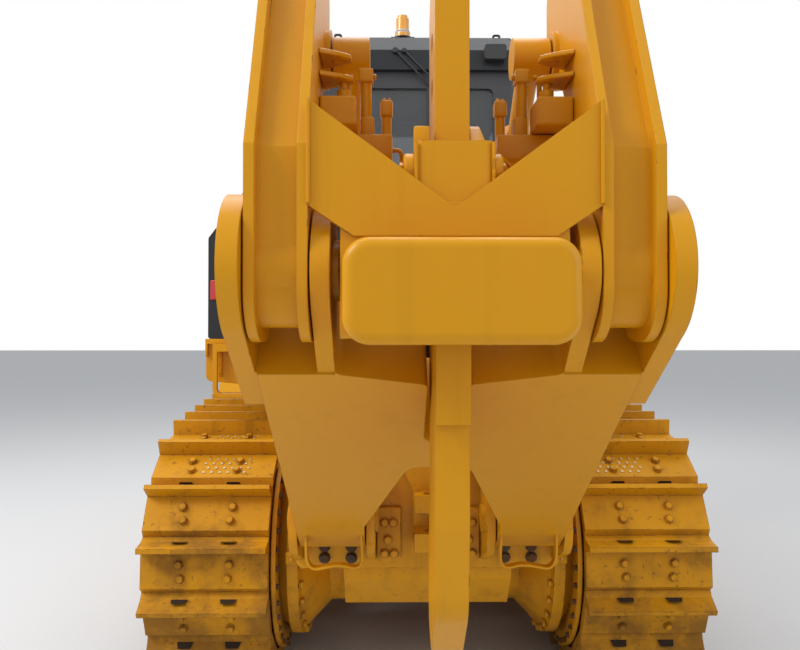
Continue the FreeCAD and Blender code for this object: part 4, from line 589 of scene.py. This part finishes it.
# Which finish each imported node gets.
NODE_FINISH = {
    "yellow_enamel": (
        "ripper_lower_arm", "ripper_pivot_pins", "ripper_beam", "push_block", "ripper_shank",
        "ripper_lift_barrels", "ripper_tilt_barrels", "ripper_tilt_rods", "hood", "radiator_guard", "fenders",
        "rear_steps", "blade_barrels"),
    "yellow_low": (
        "final_drives", "track_frames", "pivot_shaft_and_equalizer", "main_frame", "ripper_mount", "push_arms",
        "blade_braces", "blade"),
    "yellow_track": ("track_right", "track_left"),
    "brown_steel": ("sprockets", "idlers", "track_rollers", "engine_block"),
    "bare_edge": ("cutting_edge", "ripper_tooth"),
    "scorched_steel": ("exhaust_stack",),
    "black_enamel": ("rear_tank", "cab_roof", "radiator_grille", "radiator_core", "air_precleaner"),
    "cab_enamel": ("cab_shell", "cab_door_right", "cab_door_left", "cab_floor", "seat_pedestal"),
    "dark_plastic": ("control_console", "work_lamps"),
    "woven_fabric": ("operator_seat",),
    "window_glass": ("cab_glass", "door_glass_right", "door_glass_left"),
    "lift_rod_steel": ("ripper_lift_rods",),
    "blade_rod_steel": ("blade_rods",),
    "red_lens": ("tail_lamps",),
    "amber_lens": ("beacon",),
}


class BULLDOZER_OT_finishes(bpy.types.Operator):
    """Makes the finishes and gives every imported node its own"""

    bl_idname = "bulldozer.finishes"
    bl_label = "Finishes"

    def execute(self, context):
        make_finishes(context.scene.bulldozer_finish)
        for finish, nodes in NODE_FINISH.items():
            for node in nodes:
                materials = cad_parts[node].data.materials
                materials.clear()
                materials.append(FINISH[finish])
        missed = [name for name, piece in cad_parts.items()
                  if piece.data.materials[0] not in FINISH.values()]
        if missed:
            raise RuntimeError(f"no finish for {missed}")
        return {"FINISHED"}


# PIECES OF THE TRACKS

TRACKS = ((1, "track_right"), (-1, "track_left"))
TRACK_MIDDLE = 1.070
SHOE_WIDTH = 0.55
SHOE_PLATE = (0.12, 0.2)
FEWEST_SHOES = 30
SHOE_BOLTS = ((-0.121, 0.030), (0.121, 0.030), (-0.113, -0.036), (0.113, -0.036))
BAR_LEAN = 0.21
BAR_REACH = 0.0505
NOTCHES = ((-0.117, 0), (0.117, 0))
NOTCH_LIFT = 0.004
UNDER_TANK = (-0.45, 0.25)
FACES_UP = 0.55
STUD_ROWS, STUD_COLUMNS = 4, 6
STUD_ACROSS, STUD_AHEAD = 0.041, 0.032


def shoe_plates(node):
    """Middle, outward direction, forward direction and half length of each shoe's flat plate."""
    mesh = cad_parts[node].data
    plates = []
    for face in mesh.polygons:
        corners = [mesh.vertices[index].co for index in face.vertices]
        across = [corner.x for corner in corners]
        if max(across) - min(across) < SHOE_WIDTH or abs(face.normal.x) > 0.01:
            continue
        outward = Vector((0, face.normal.y, face.normal.z)).normalized()
        along = Vector((0, outward.z, -outward.y))
        reach = [corner.dot(along) for corner in corners]
        back, front = min(reach), max(reach)
        if not SHOE_PLATE[0] < front - back < SHOE_PLATE[1]:
            continue
        middle = along * (front + back) / 2 + outward * corners[0].dot(outward)
        # both triangles of a plate give the same middle
        if all((middle - other[0]).length > 0.05 for other in plates):
            plates.append((middle, outward, along, (front - back) / 2))
    if len(plates) < FEWEST_SHOES:
        raise RuntimeError(f"{node} shows only {len(plates)} shoe plates")
    return plates


def on_plates(side, plates, spots):
    """Matrices on a track's plates, at spots across the track and along each plate."""
    return [facing(middle + along * ahead + Vector((side * TRACK_MIDDLE + across, 0, 0)), outward, along)
            for middle, outward, along, _ in plates for across, ahead in spots]


class BULLDOZER_OT_track_bolts(bpy.types.Operator):
    """Four bolts on each shoe"""

    bl_idname = "bulldozer.track_bolts"
    bl_label = "Track bolts"

    def execute(self, context):
        width = context.scene.bulldozer_fitting.shoe_bolt
        for side, node in TRACKS:
            piece = bolts(width, on_plates(side, shoe_plates(node), SHOE_BOLTS))
            settle(piece, f"{node}_bolts", "yellow_track", "track_paint")
        return {"FINISHED"}


class BULLDOZER_OT_track_reliefs(bpy.types.Operator):
    """Thin dark plates on the cut-outs at the leading edge of each shoe, where the next link passes: painted shade
    of the cut-outs.
    """

    bl_idname = "bulldozer.track_reliefs"
    bl_label = "Track reliefs"

    def execute(self, context):
        for side, node in TRACKS:
            bars = []
            for middle, outward, along, half in shoe_plates(node):
                # the bar's upper face leans from its tip down to the shoe's edge
                lean = (outward + along * BAR_LEAN).normalized()
                face_out = (along - outward * BAR_LEAN).normalized()
                bars.append((middle + along * (half + BAR_REACH) + lean * NOTCH_LIFT, face_out, lean, half))
            # each notch is a thin dark plate just above the shoe that paints the shade of the recessed cut-out
            notch = plate([(-0.040, 0, 0), (0.040, 0, 0), (0.030, 0.036, 0), (-0.030, 0.036, 0)], (0, 0, 0.0016))
            piece = copies(notch, on_plates(side, bars, NOTCHES))
            settle(piece, f"{node}_reliefs", "painted_recess_shade", "track_paint")
        return {"FINISHED"}


class BULLDOZER_OT_track_studs(bpy.types.Operator):
    """Small bright studs in four rows on the shoes below the tank"""

    bl_idname = "bulldozer.track_studs"
    bl_label = "Track studs"

    def execute(self, context):
        for side, node in TRACKS:
            plates = [shoe for shoe in shoe_plates(node)
                      if shoe[1].z >= FACES_UP and UNDER_TANK[0] < shoe[0].y - AXLE_Y < UNDER_TANK[1]]
            # the rows lie inside the track's middle, and every second one is set about half a step over
            start = -0.02 - side * 0.07
            spots = [(start + (column - 2.5) * STUD_ACROSS + (line % 2) * 0.018, (line - 1.5) * STUD_AHEAD)
                     for line in range(STUD_ROWS) for column in range(STUD_COLUMNS)]
            stud = disc((0, 0, 0), UP, 0.0075, 0.004, bevel=0.001, sides=10)
            piece = copies(stud, on_plates(side, plates, spots))
            settle(piece, f"{node}_studs", "rubbed_stud", "worn_steel")
        return {"FINISHED"}


def on_circle(x, outward, radius, count):
    """Matrices spaced evenly round the sprocket axle, facing along X or against it."""
    places = []
    for number in range(count):
        turn = 2 * math.pi * number / count
        spoke = Vector((0, math.cos(turn), math.sin(turn)))
        places.append(facing(row(x, 0, AXLE_HEIGHT) + spoke * radius, (outward, 0, 0), spoke))
    return places


class BULLDOZER_OT_drive_fittings(bpy.types.Operator):
    """Flange bolts, plugs and caps of the final drives"""

    bl_idname = "bulldozer.drive_fittings"
    bl_label = "Final drive fittings"

    def execute(self, context):
        frame_bolt = context.scene.bulldozer_fitting.frame_bolt
        for name, width, x, radius, count, look in (
                ("drive_flange_bolts", frame_bolt, 629.5, 0.449, 28, LOW_YELLOW),
                ("drive_seal_bolts", 0.024, 735, 0.515, 36, BROWN)):
            places = [place for side in SIDES for place in on_circle(side * x, -side, radius, count)]
            settle(bolts(width, places), name, *look)
        boss = joined([
            block((634, -505, 686), (692, -455, 746), 0.006),
            disc(row(663, -505, 716), REAR, 0.024, 0.006),
            disc(row(663, -511, 716), REAR, 0.012, 0.012, sides=6),
        ])
        settle(and_mirrored(boss), "drive_level_plugs", *LOW_YELLOW)
        for side, name in zip(SIDES, ("drive_cap_right", "drive_cap_left")):
            cap = joined([
                disc(row(side * 1320, 0, AXLE_HEIGHT), (side, 0, 0), 0.150, 0.020, 0.006, sides=36),
                disc(row(side * 1340, 0, AXLE_HEIGHT), (side, 0, 0), 0.060, 0.018, 0.004),
                bolts(0.022, on_circle(side * 1339.5, side, 0.122, 12)),
            ])
            settle(cap, name, *LOW_YELLOW, smooth=True)
        return {"FINISHED"}


# PIECES OF THE RIPPER

MOUNT_REAR = -640
GUARD_REAR = -955


class BULLDOZER_OT_mount_fittings(bpy.types.Operator):
    """Bolts and side plates of the ripper's mount, and bent guards on its lower arm"""

    bl_idname = "bulldozer.mount_fittings"
    bl_label = "Ripper mount fittings"

    def execute(self, context):
        width = context.scene.bulldozer_fitting.frame_bolt
        places = [facing(row(side * x, MOUNT_REAR, z), REAR)
                  for x, z in ((488, 813), (362, 813), (488, 760), (362, 760)) for side in SIDES]
        settle(bolts(width * 1.25, places), "mount_plate_bolts", *BROWN)
        outline = ((-242, 1000), (-128, 1000), (-128, 770), (-150, 742), (-215, 742), (-242, 775))
        places = [facing(row(x, MOUNT_REAR - 22, z), REAR)
                  for x, z in ((-205, 930), (-165, 930), (-190, 850), (-205, 785), (-160, 785))]
        pad = plate([row(x, MOUNT_REAR, z) for x, z in outline], (0, -0.022, 0), 0.004)
        pad = joined([pad, bolts(width, places)])
        settle(and_mirrored(pad), "mount_side_pads", *LOW_YELLOW)
        bends = ((-548, 1120), (-542, 830), (-515, 792), (-400, 815), (-318, 795), (-297, 830), (-304, 930),
                 (-306, 1120))
        path = rounded_path([row(x, GUARD_REAR, z) for x, z in bends], 0.03, 3)
        guard = strip(path, (0, 0.045, 0), 0.010)
        settle(and_mirrored(guard), "arm_bent_guards", *YELLOW, "ripper_arm")
        return {"FINISHED"}


class BULLDOZER_OT_beam_fittings(bpy.types.Operator):
    """Clamp ears, port blocks and pins between the arms of the ripper's beam"""

    bl_idname = "bulldozer.beam_fittings"
    bl_label = "Ripper beam fittings"

    def execute(self, context):
        ears = []
        for z, nose, rear, front in ((2695, -305, -1900, -1740), (2628, -298, -1890, -1735)):
            outline = rows((-404, rear, z), (nose - 40, rear + 30, z), (nose, rear + 62, z), (nose, front - 62, z),
                           (nose - 40, front - 30, z), (-404, front, z))
            ears.append(plate(outline, (0, 0, 0.016), 0.003))
            ears.append(ring(row(nose - 34, (rear + front) / 2, z - 3), UP, 0.030, 0.015, 0.022))
        ears += [
            block((-404, -1885, 2470), (-288, -1740, 2565), 0.008),
            disc(row(-330, -1812, 2565), UP, 0.034, 0.008),
            disc(row(-330, -1812, 2573), UP, 0.024, 0.030, 0.005, sides=20),
            disc(row(-330, -1812, 2628), DOWN, 0.012, 0.030, bevel=0),
        ]
        settle(and_mirrored(joined(ears)), "beam_clamp_ears", *YELLOW, "ripper_tool")
        ports = [
            block((-284, -1775, 2645), (-236, -1715, 2690), 0.005),
            block((-278, -1765, 2465), (-232, -1705, 2530), 0.006),
            block((-400, -1790, 2380), (-172, -1690, 2468), 0.010),
            block((-214, -1740, 2540), (-170, -1690, 2596), 0.010),
            disc(row(-260, -1745, 2520), UP, 0.019, 0.13),
            disc(row(-192, -1715, 2460), UP, 0.017, 0.09),
            disc(row(-236, -1745, 2668), RIGHT, 0.011, 0.010, sides=6),
            *(disc(row(x, -1715, 2596), UP, 0.006, 0.010, 0.001, sides=12) for x in (-200, -184)),
            pipe(rows((-300, -1745, 2668), (-320, -1745, 2668), (-320, -1745, 2600)), 0.009),
            pipe(rows((-172, -1715, 2430), (-140, -1715, 2430), (-140, -1715, 2330)), 0.008),
        ]
        ports = and_mirrored(joined(ports))
        settle(ports, "beam_port_blocks", *YELLOW, "ripper_tool", True)
        bosses = []
        for x, way, out in ((108, RIGHT, 30), (-108, LEFT, -34)):
            bosses.append(disc(row(x, -2130, 2270), way, 0.050, abs(out) / 1000, 0.006))
            bosses.append(disc(row(x + out, -2130, 2270), way, 0.026, 0.012, 0.003, sides=6))
        bosses += [
            block((-112, -2120, 2330), (-66, -2070, 2405), 0.006),
            plate(rows((52, -2112, 2345), (100, -2112, 2345), (84, -2060, 2412), (52, -2060, 2412)),
                  (0, 0.018, 0.012), 0.002),
            pipe(rows((128, -2115, 2320), (175, -2080, 2295), (176, -2020, 2280)), 0.006),
        ]
        settle(joined(bosses), "saddle_pin_bosses", *YELLOW, "ripper_tool", True)
        return {"FINISHED"}


class BULLDOZER_OT_weld_beads(bpy.types.Operator):
    """Weld beads where the gusset and the saddle meet the beam"""

    bl_idname = "bulldozer.weld_beads"
    bl_label = "Weld beads"

    def execute(self, context):
        beads = [
            pipe(rows((x, y, low), (x, y, high)), radius, resolution=1)
            for x, y, low, high, radius in (
                (404, -2218, 2165, 2450, 0.006), (-404, -2218, 2165, 2450, 0.006),
                (-108, -2192, 2222, 2340, 0.005), (108, -2192, 2222, 2340, 0.005))
        ]
        settle(joined(beads), "beam_weld_beads", *YELLOW, "ripper_tool", True)
        return {"FINISHED"}


class BULLDOZER_OT_barrel_pipes(bpy.types.Operator):
    """Steel pipes along the barrels of the ripper's cylinders"""

    bl_idname = "bulldozer.barrel_pipes"
    bl_label = "Barrel pipes"

    def execute(self, context):
        for name, body, start, end, x, offset, low, high in (
                ("lift_barrel_pipes", "lift_barrels", (0, -480, 1600), LIFT_ROD_EYE, 0.490, 0.104, 0.19, 0.71),
                ("tilt_barrel_pipes", "tilt_barrels", (0, -340, 1770), (0, -1590, 2785), 0.315, 0.084, 0.19, 1.16)):
            along = (row(*end) - row(*start)).normalized()
            over = Vector((0, along.z, -along.y))
            base = row(*start) + Vector((x, 0, 0))
            path = [base + along * reach + over * height for reach, height in (
                (low, offset - 0.02), (low, offset), (high, offset), (high, offset - 0.02))]
            parts = [pipe(path, 0.010, 0.015)]
            for share in (0.3, 0.7):
                middle = base + along * (low + (high - low) * share) + over * offset
                parts.append(disc(middle - along * 0.012, along, 0.016, 0.024, sides=16))
            settle(and_mirrored(joined(parts)), name, *YELLOW, body, True)
        return {"FINISHED"}


# PIECES OF THE CAB


def cushion(low, high, lean=0.0, bevel=0.045):
    """A soft block, leaning about its middle."""
    piece = block(low, high, bevel, 5)
    if lean:
        middle = (row(*low) + row(*high)) / 2
        bpy.ops.transform.rotate(value=lean, orient_axis="X", center_override=tuple(middle))
        baked(piece)
    return piece


class BULLDOZER_OT_seat(bpy.types.Operator):
    """Upholstered seat with a headrest, in place of the plain seat"""

    bl_idname = "bulldozer.seat"
    bl_label = "Operator's seat"

    def execute(self, context):
        cushions = joined([
            cushion((-165, 1150, 2010), (165, 1575, 2112)),
            cushion((-240, 1150, 2000), (-150, 1560, 2135), bevel=0.035),
            cushion((150, 1150, 2000), (240, 1560, 2135), bevel=0.035),
            cushion((-160, 1118, 2105), (160, 1215, 2345), 0.10),
            cushion((-160, 1092, 2330), (160, 1185, 2620), 0.12),
            cushion((-235, 1128, 2110), (-145, 1235, 2580), 0.11, 0.035),
            cushion((145, 1128, 2110), (235, 1235, 2580), 0.11, 0.035),
            cushion((-125, 1068, 2628), (125, 1150, 2765), 0.10, 0.035),
        ])
        piece = settle(cushions, "seat_cushions", "woven_fabric", "seat_fabric", smooth=True)
        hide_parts("operator_seat")
        shell = joined([
            block((-245, 1120, 1984), (245, 1570, 2008), 0.010),
            block((-225, 1088, 2000), (225, 1118, 2560), 0.012),
        ])
        settle(shell, "seat_shell", *PLASTIC, smooth=True)
        return {"FINISHED"}


class BULLDOZER_OT_controls(bpy.types.Operator):
    """Levers, armrests, a display and pedals"""

    bl_idname = "bulldozer.controls"
    bl_label = "Controls"

    def execute(self, context):
        parts = [block((-130, 1800, 2200), (130, 1830, 2370), 0.012)]
        for x in (-360, 360):
            parts += [
                pipe(rows((x, 1480, 2150), (x, 1490, 2230), (x, 1505, 2290)), 0.012),
                disc(row(x, 1500, 2270), (0, 0.2, 1), 0.030, 0.110, 0.010),
                block((x - 60, 1180, 2225), (x + 60, 1420, 2262), 0.015, 3),
            ]
        for x in (-180, -60, 60, 180):
            parts.append(block((x - 35, 1740, 1690), (x + 35, 1760, 1800), 0.006))
            parts.append(pipe(rows((x, 1755, 1700), (x, 1800, 1680)), 0.010))
        settle(joined(parts), "cab_controls", *PLASTIC, smooth=True)
        glass = block((-112, 1793, 2218), (112, 1801, 2352), 0.002, 1)
        settle(glass, "cab_display", "display_glass", "black_plastic")
        return {"FINISHED"}


class BULLDOZER_OT_cab_fittings(bpy.types.Operator):
    """Rear wipers, the beacon's base, lifting loops on the roof and seals at the rear corners"""

    bl_idname = "bulldozer.cab_fittings"
    bl_label = "Cab fittings"

    def execute(self, context):
        roof_low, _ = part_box("cab_roof")
        skirt = ahead_of_axle(roof_low)
        parts = [
            block((60, 735, 3120), (76, 747, 3500), 0.003),
            pipe(rows((212, 742, 3370), (154, 742, 3370), (68, 740, 3330)), 0.006),
        ]
        for x, radius in ((-146, 0.020), (-88, 0.016)):
            arm = rows((x, skirt - 14, 3662), (x + 120, skirt - 14, 3540), (x + 300, 742, 3370))
            parts += [disc(row(x, skirt + 2, 3662), REAR, radius, 0.030, 0.004), pipe(arm, 0.0065, 0.05)]
        settle(joined(parts), "rear_wipers", *PLASTIC, smooth=True)
        base = joined([
            ring(row(-96, 880, 3809), UP, 0.0495, 0.045, 0.038),
            ring(row(-96, 880, 3850), UP, 0.0475, 0.0445, 0.008),
        ])
        settle(base, "beacon_base", "white_plastic", "lamp_housing", smooth=True)
        pedestal = joined([
            block((-176, 820, 3782), (-16, 940, 3800), 0.006),
            ring(row(-96, 880, 3799), UP, 0.068, 0.0625, 0.009),
        ])
        settle(pedestal, "beacon_pedestal", *BLACK)
        loops = []
        seams = []
        for side in SIDES:
            inner, outer, corner = side * 505, side * 545, side * 641
            path = rows((inner, 800, 3776), (inner, 800, 3800), (outer, 800, 3800), (outer, 800, 3776))
            loops.append(pipe(path, 0.008, 0.01))
            seams.append(strip(rows((corner, 748, 2298), (corner, 748, 3432)), (side * 0.012, 0.004, 0), 0.006))
        settle(joined(loops), "roof_lifting_loops", *BLACK, smooth=True)
        settle(joined(seams), "cab_corner_seals", *RUBBER)
        return {"FINISHED"}


class BULLDOZER_OT_window_seals(bpy.types.Operator):
    """Rubber seals round the windows of the doors, and the doors' latches"""

    bl_idname = "bulldozer.window_seals"
    bl_label = "Window seals"

    def execute(self, context):
        inset = 7
        for side, body, name in ((1, "right_door", "right"), (-1, "left_door", "left")):
            glass_low, glass_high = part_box(f"door_glass_{name}")
            rear, front = ahead_of_axle(glass_low), ahead_of_axle(glass_high)
            low, high = glass_low.z * 1000 + inset, glass_high.z * 1000 - inset
            start = (rear + front) / 2, low
            corners = ((front - inset, low), (front - inset, high), (rear + inset, high), (rear + inset, low))
            path = [row(side * 747, y, z) for y, z in (start, *corners, start)]
            seal = pipe(path, 0.008, 0.045, resolution=1)
            settle(seal, f"door_seal_{name}", *RUBBER, body, smooth=True)
            latch = joined([
                block((side * 758, front + 18, 2140), (side * 772, front + 70, 2230), 0.004),
                disc(row(side * 770, front + 44, 2200), (side, 0, 0), 0.013, 0.010),
            ])
            settle(latch, f"door_latch_{name}", *PLASTIC, body, smooth=True)
        return {"FINISHED"}


class BULLDOZER_OT_lamp_lenses(bpy.types.Operator):
    """Lenses of the work lamps, and ribs and rims of the tail lamps"""

    bl_idname = "bulldozer.lamp_lenses"
    bl_label = "Lamp lenses"

    def execute(self, context):
        lenses = [block((x - 55, face, 3603), (x + 55, back, 3672), 0.008)
                  for face, back in ((642, 648), (2128, 2122)) for x in (500, -500)]
        settle(joined(lenses), "work_lamp_lenses", "lamp_silver", "lamp_housing")
        tail_low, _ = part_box("tail_lamps")
        rear = ahead_of_axle(tail_low)
        ribs = []
        for side in SIDES:
            for z in (2030, 2047, 2064, 2081):
                ribs.append(block((side * 1062, rear + 0.4, z), (side * 1148, rear + 4, z + 9), 0.0015, 1))
            ribs.append(block((side * 1044, rear + 16, 2004), (side * 1166, rear + 27, 2111), 0.003, 1))
        settle(joined(ribs), "tail_lamp_ribs", "red_lens", "red_lens")
        return {"FINISHED"}


# PIECES OF THE BODY


class BULLDOZER_OT_tank_fittings(bpy.types.Operator):
    """Filler caps on the tank, bolts below it and handrails beside it"""

    bl_idname = "bulldozer.tank_fittings"
    bl_label = "Tank fittings"

    def execute(self, context):
        _, tank_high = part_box("rear_tank")
        top = tank_high.z * 1000
        parts = []
        for x in (-620, 620):
            parts += [
                disc(row(x, 240, top - 4), UP, 0.075, 0.020, 0.004),
                disc(row(x, 240, top + 14), UP, 0.058, 0.034, 0.008),
                block((x - 62, 228, top + 44), (x + 62, 252, top + 58), 0.005),
            ]
        settle(joined(parts), "tank_caps", *BLACK, smooth=True)
        spots = [(x, -60, 1740) for x in (900, 1010, 1120)]
        spots += [(x, -40, z) for x, z in ((420, 1500), (420, 1700), (620, 1560), (780, 1740))]
        places = [facing(row(side * x, y, z), REAR) for side in SIDES for x, y, z in spots]
        settle(bolts(0.026, places), "bracket_bolts", *BROWN)
        rails = [pipe(rows((x, 700, 1786), (x, 700, 2120), (x, 1080, 2150), (x, 1080, 1786)), 0.016, 0.08)
                 for x in (1165, -1165)]
        settle(joined(rails), "side_handrails", *YELLOW, smooth=True)
        return {"FINISHED"}


class BULLDOZER_OT_hood_fittings(bpy.types.Operator):
    """Latches, handles and bolts on the hood and radiator guard"""

    bl_idname = "bulldozer.hood_fittings"
    bl_label = "Hood fittings"

    def execute(self, context):
        parts = []
        for side in SIDES:
            for y in (2140, 2590, 3020):
                parts.append(block((side * 499, y - 22, 1290), (side * 510, y + 22, 1345), 0.003))
                parts.append(disc(row(side * 509, y, 1318), (side, 0, 0), 0.012, 0.008))
            wall, grip = side * 498, side * 530
            for y in (2100, 2560):
                path = rows((wall, y, 1900), (grip, y, 1900), (grip, y, 2040), (wall, y, 2040))
                parts.append(pipe(path, 0.009, 0.02))
        settle(joined(parts), "hood_latches", *PLASTIC, smooth=True)
        _, guard_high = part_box("radiator_guard")
        places = [facing(row(side * 536, ahead_of_axle(guard_high), z), FRONT)
                  for side in SIDES for z in (700, 1000, 1300, 1600, 1900, 2200)]
        settle(bolts(0.026, places), "guard_bolts", *BROWN)
        return {"FINISHED"}


# STUDIO

FLOOR_SIZE = 160
FLOOR_GREY = (0.66, 0.66, 0.66)
SKY = {"Color": (0.93, 0.96, 1.0, 1), "Strength": 0.62}
CAMERA_X = -0.18
CAMERA_TURN = (math.radians(90.88), 0, math.radians(-0.735))
# Place, what it points at, share of the key light's power, and size.
LAMPS = {
    "key_lamp": ((-8.5, AXLE_Y - 4.5, 9.5), (0, AXLE_Y, 1.6), 2.2, 5.0),
    "fill_lamp": ((8.0, AXLE_Y - 6.0, 5.0), (0, AXLE_Y, 1.5), 0.45, 6.0),
    "top_lamp": ((0.0, 1.5, 10.5), (0, 0, 1.0), 1.2, 8.0),
}


def add_object(scene, name, data, place):
    """A new lamp or camera in the scene."""
    piece = bpy.data.objects.new(name, data)
    scene.collection.objects.link(piece)
    piece.location = place
    return piece


class BULLDOZER_OT_studio(bpy.types.Operator):
    """Sets up the floor, the backdrop, the lamps and the camera"""

    bl_idname = "bulldozer.studio"
    bl_label = "Studio"

    def execute(self, context):
        scene = context.scene
        studio = scene.bulldozer_studio
        set_shader(new_finish("studio_floor"), FLOOR_GREY, {"Roughness": 0.9, "Specular IOR Level": 0.1})
        bpy.ops.mesh.primitive_plane_add(size=FLOOR_SIZE, location=(0, 20, -0.001))
        floor = baked(bpy.context.object)
        floor.name = "studio_floor"
        floor.data.materials.append(FINISH["studio_floor"])
        world = bpy.data.worlds.new("studio_sky")
        scene.world = world
        world.use_nodes = True
        tree = world.node_tree
        sky = tree.nodes["Background"]
        fill_in(tree, sky, SKY)
        # the camera, glossy surfaces and glass see white, and the rest is lit by the sky
        ray = add_node(tree, "ShaderNodeLightPath").outputs
        mirrored = sums(tree, "MAXIMUM", ray["Is Camera Ray"], ray["Is Glossy Ray"])
        seen = sums(tree, "MAXIMUM", mirrored, ray["Is Transmission Ray"])
        white = add_node(tree, "ShaderNodeBackground", {"Color": (1, 1, 1, 1)})
        choice = add_node(tree, "ShaderNodeMixShader", {0: seen, 1: sky.outputs[0], 2: white.outputs[0]})
        fill_in(tree, tree.nodes["World Output"], {"Surface": choice.outputs[0]})
        for name, (place, aim, share, size) in LAMPS.items():
            light = bpy.data.lights.new(name, "AREA")
            light.energy = studio.key_power * share
            light.size = size
            lamp = add_object(scene, name, light, place)
            lamp.rotation_euler = (Vector(aim) - Vector(place)).to_track_quat("-Z", "Y").to_euler()
        view = bpy.data.cameras.new("rear_view")
        view.lens = studio.lens
        view.sensor_width = 36
        view.clip_end = 400
        camera = add_object(scene, "rear_view", view, (CAMERA_X, AXLE_Y - studio.distance, studio.eye_height))
        camera.rotation_euler = CAMERA_TURN
        scene.camera = camera
        scene.view_settings.view_transform = "Standard"
        return {"FINISHED"}


class BULLDOZER_PT_panel(bpy.types.Panel):
    """Sizes, colours and pieces of the bulldozer."""

    bl_idname = "BULLDOZER_PT_panel"
    bl_label = "Bulldozer"
    bl_space_type = "VIEW_3D"
    bl_region_type = "UI"
    bl_category = "Bulldozer"

    def draw(self, context):
        scene = context.scene
        for settings in (scene.bulldozer_finish, scene.bulldozer_fitting, scene.bulldozer_studio):
            box = self.layout.box()
            for name in settings.__annotations__:
                box.prop(settings, name)
        for operator in OPERATORS:
            self.layout.operator(operator.bl_idname)


OPERATORS = (
    BULLDOZER_OT_finishes,
    BULLDOZER_OT_track_bolts,
    BULLDOZER_OT_track_reliefs,
    BULLDOZER_OT_track_studs,
    BULLDOZER_OT_drive_fittings,
    BULLDOZER_OT_mount_fittings,
    BULLDOZER_OT_beam_fittings,
    BULLDOZER_OT_weld_beads,
    BULLDOZER_OT_barrel_pipes,
    BULLDOZER_OT_seat,
    BULLDOZER_OT_controls,
    BULLDOZER_OT_cab_fittings,
    BULLDOZER_OT_window_seals,
    BULLDOZER_OT_lamp_lenses,
    BULLDOZER_OT_tank_fittings,
    BULLDOZER_OT_hood_fittings,
    BULLDOZER_OT_studio,
)

CLASSES = (FinishSettings, FittingSettings, StudioSettings) + OPERATORS + (BULLDOZER_PT_panel,)


def register():
    for item in CLASSES:
        bpy.utils.register_class(item)
    bpy.types.Scene.bulldozer_finish = bpy.props.PointerProperty(type=FinishSettings)
    bpy.types.Scene.bulldozer_fitting = bpy.props.PointerProperty(type=FittingSettings)
    bpy.types.Scene.bulldozer_studio = bpy.props.PointerProperty(type=StudioSettings)


def unregister():
    del bpy.types.Scene.bulldozer_studio
    del bpy.types.Scene.bulldozer_fitting
    del bpy.types.Scene.bulldozer_finish
    for item in reversed(CLASSES):
        bpy.utils.unregister_class(item)


def main():
    register()
    bpy.ops.bulldozer.finishes()
    bpy.ops.bulldozer.track_bolts()
    bpy.ops.bulldozer.track_reliefs()
    bpy.ops.bulldozer.track_studs()
    bpy.ops.bulldozer.drive_fittings()
    bpy.ops.bulldozer.mount_fittings()
    bpy.ops.bulldozer.beam_fittings()
    bpy.ops.bulldozer.weld_beads()
    bpy.ops.bulldozer.barrel_pipes()
    bpy.ops.bulldozer.seat()
    bpy.ops.bulldozer.controls()
    bpy.ops.bulldozer.cab_fittings()
    bpy.ops.bulldozer.window_seals()
    bpy.ops.bulldozer.lamp_lenses()
    bpy.ops.bulldozer.tank_fittings()
    bpy.ops.bulldozer.hood_fittings()
    bpy.ops.bulldozer.studio()


if __name__ == "__main__":
    main()
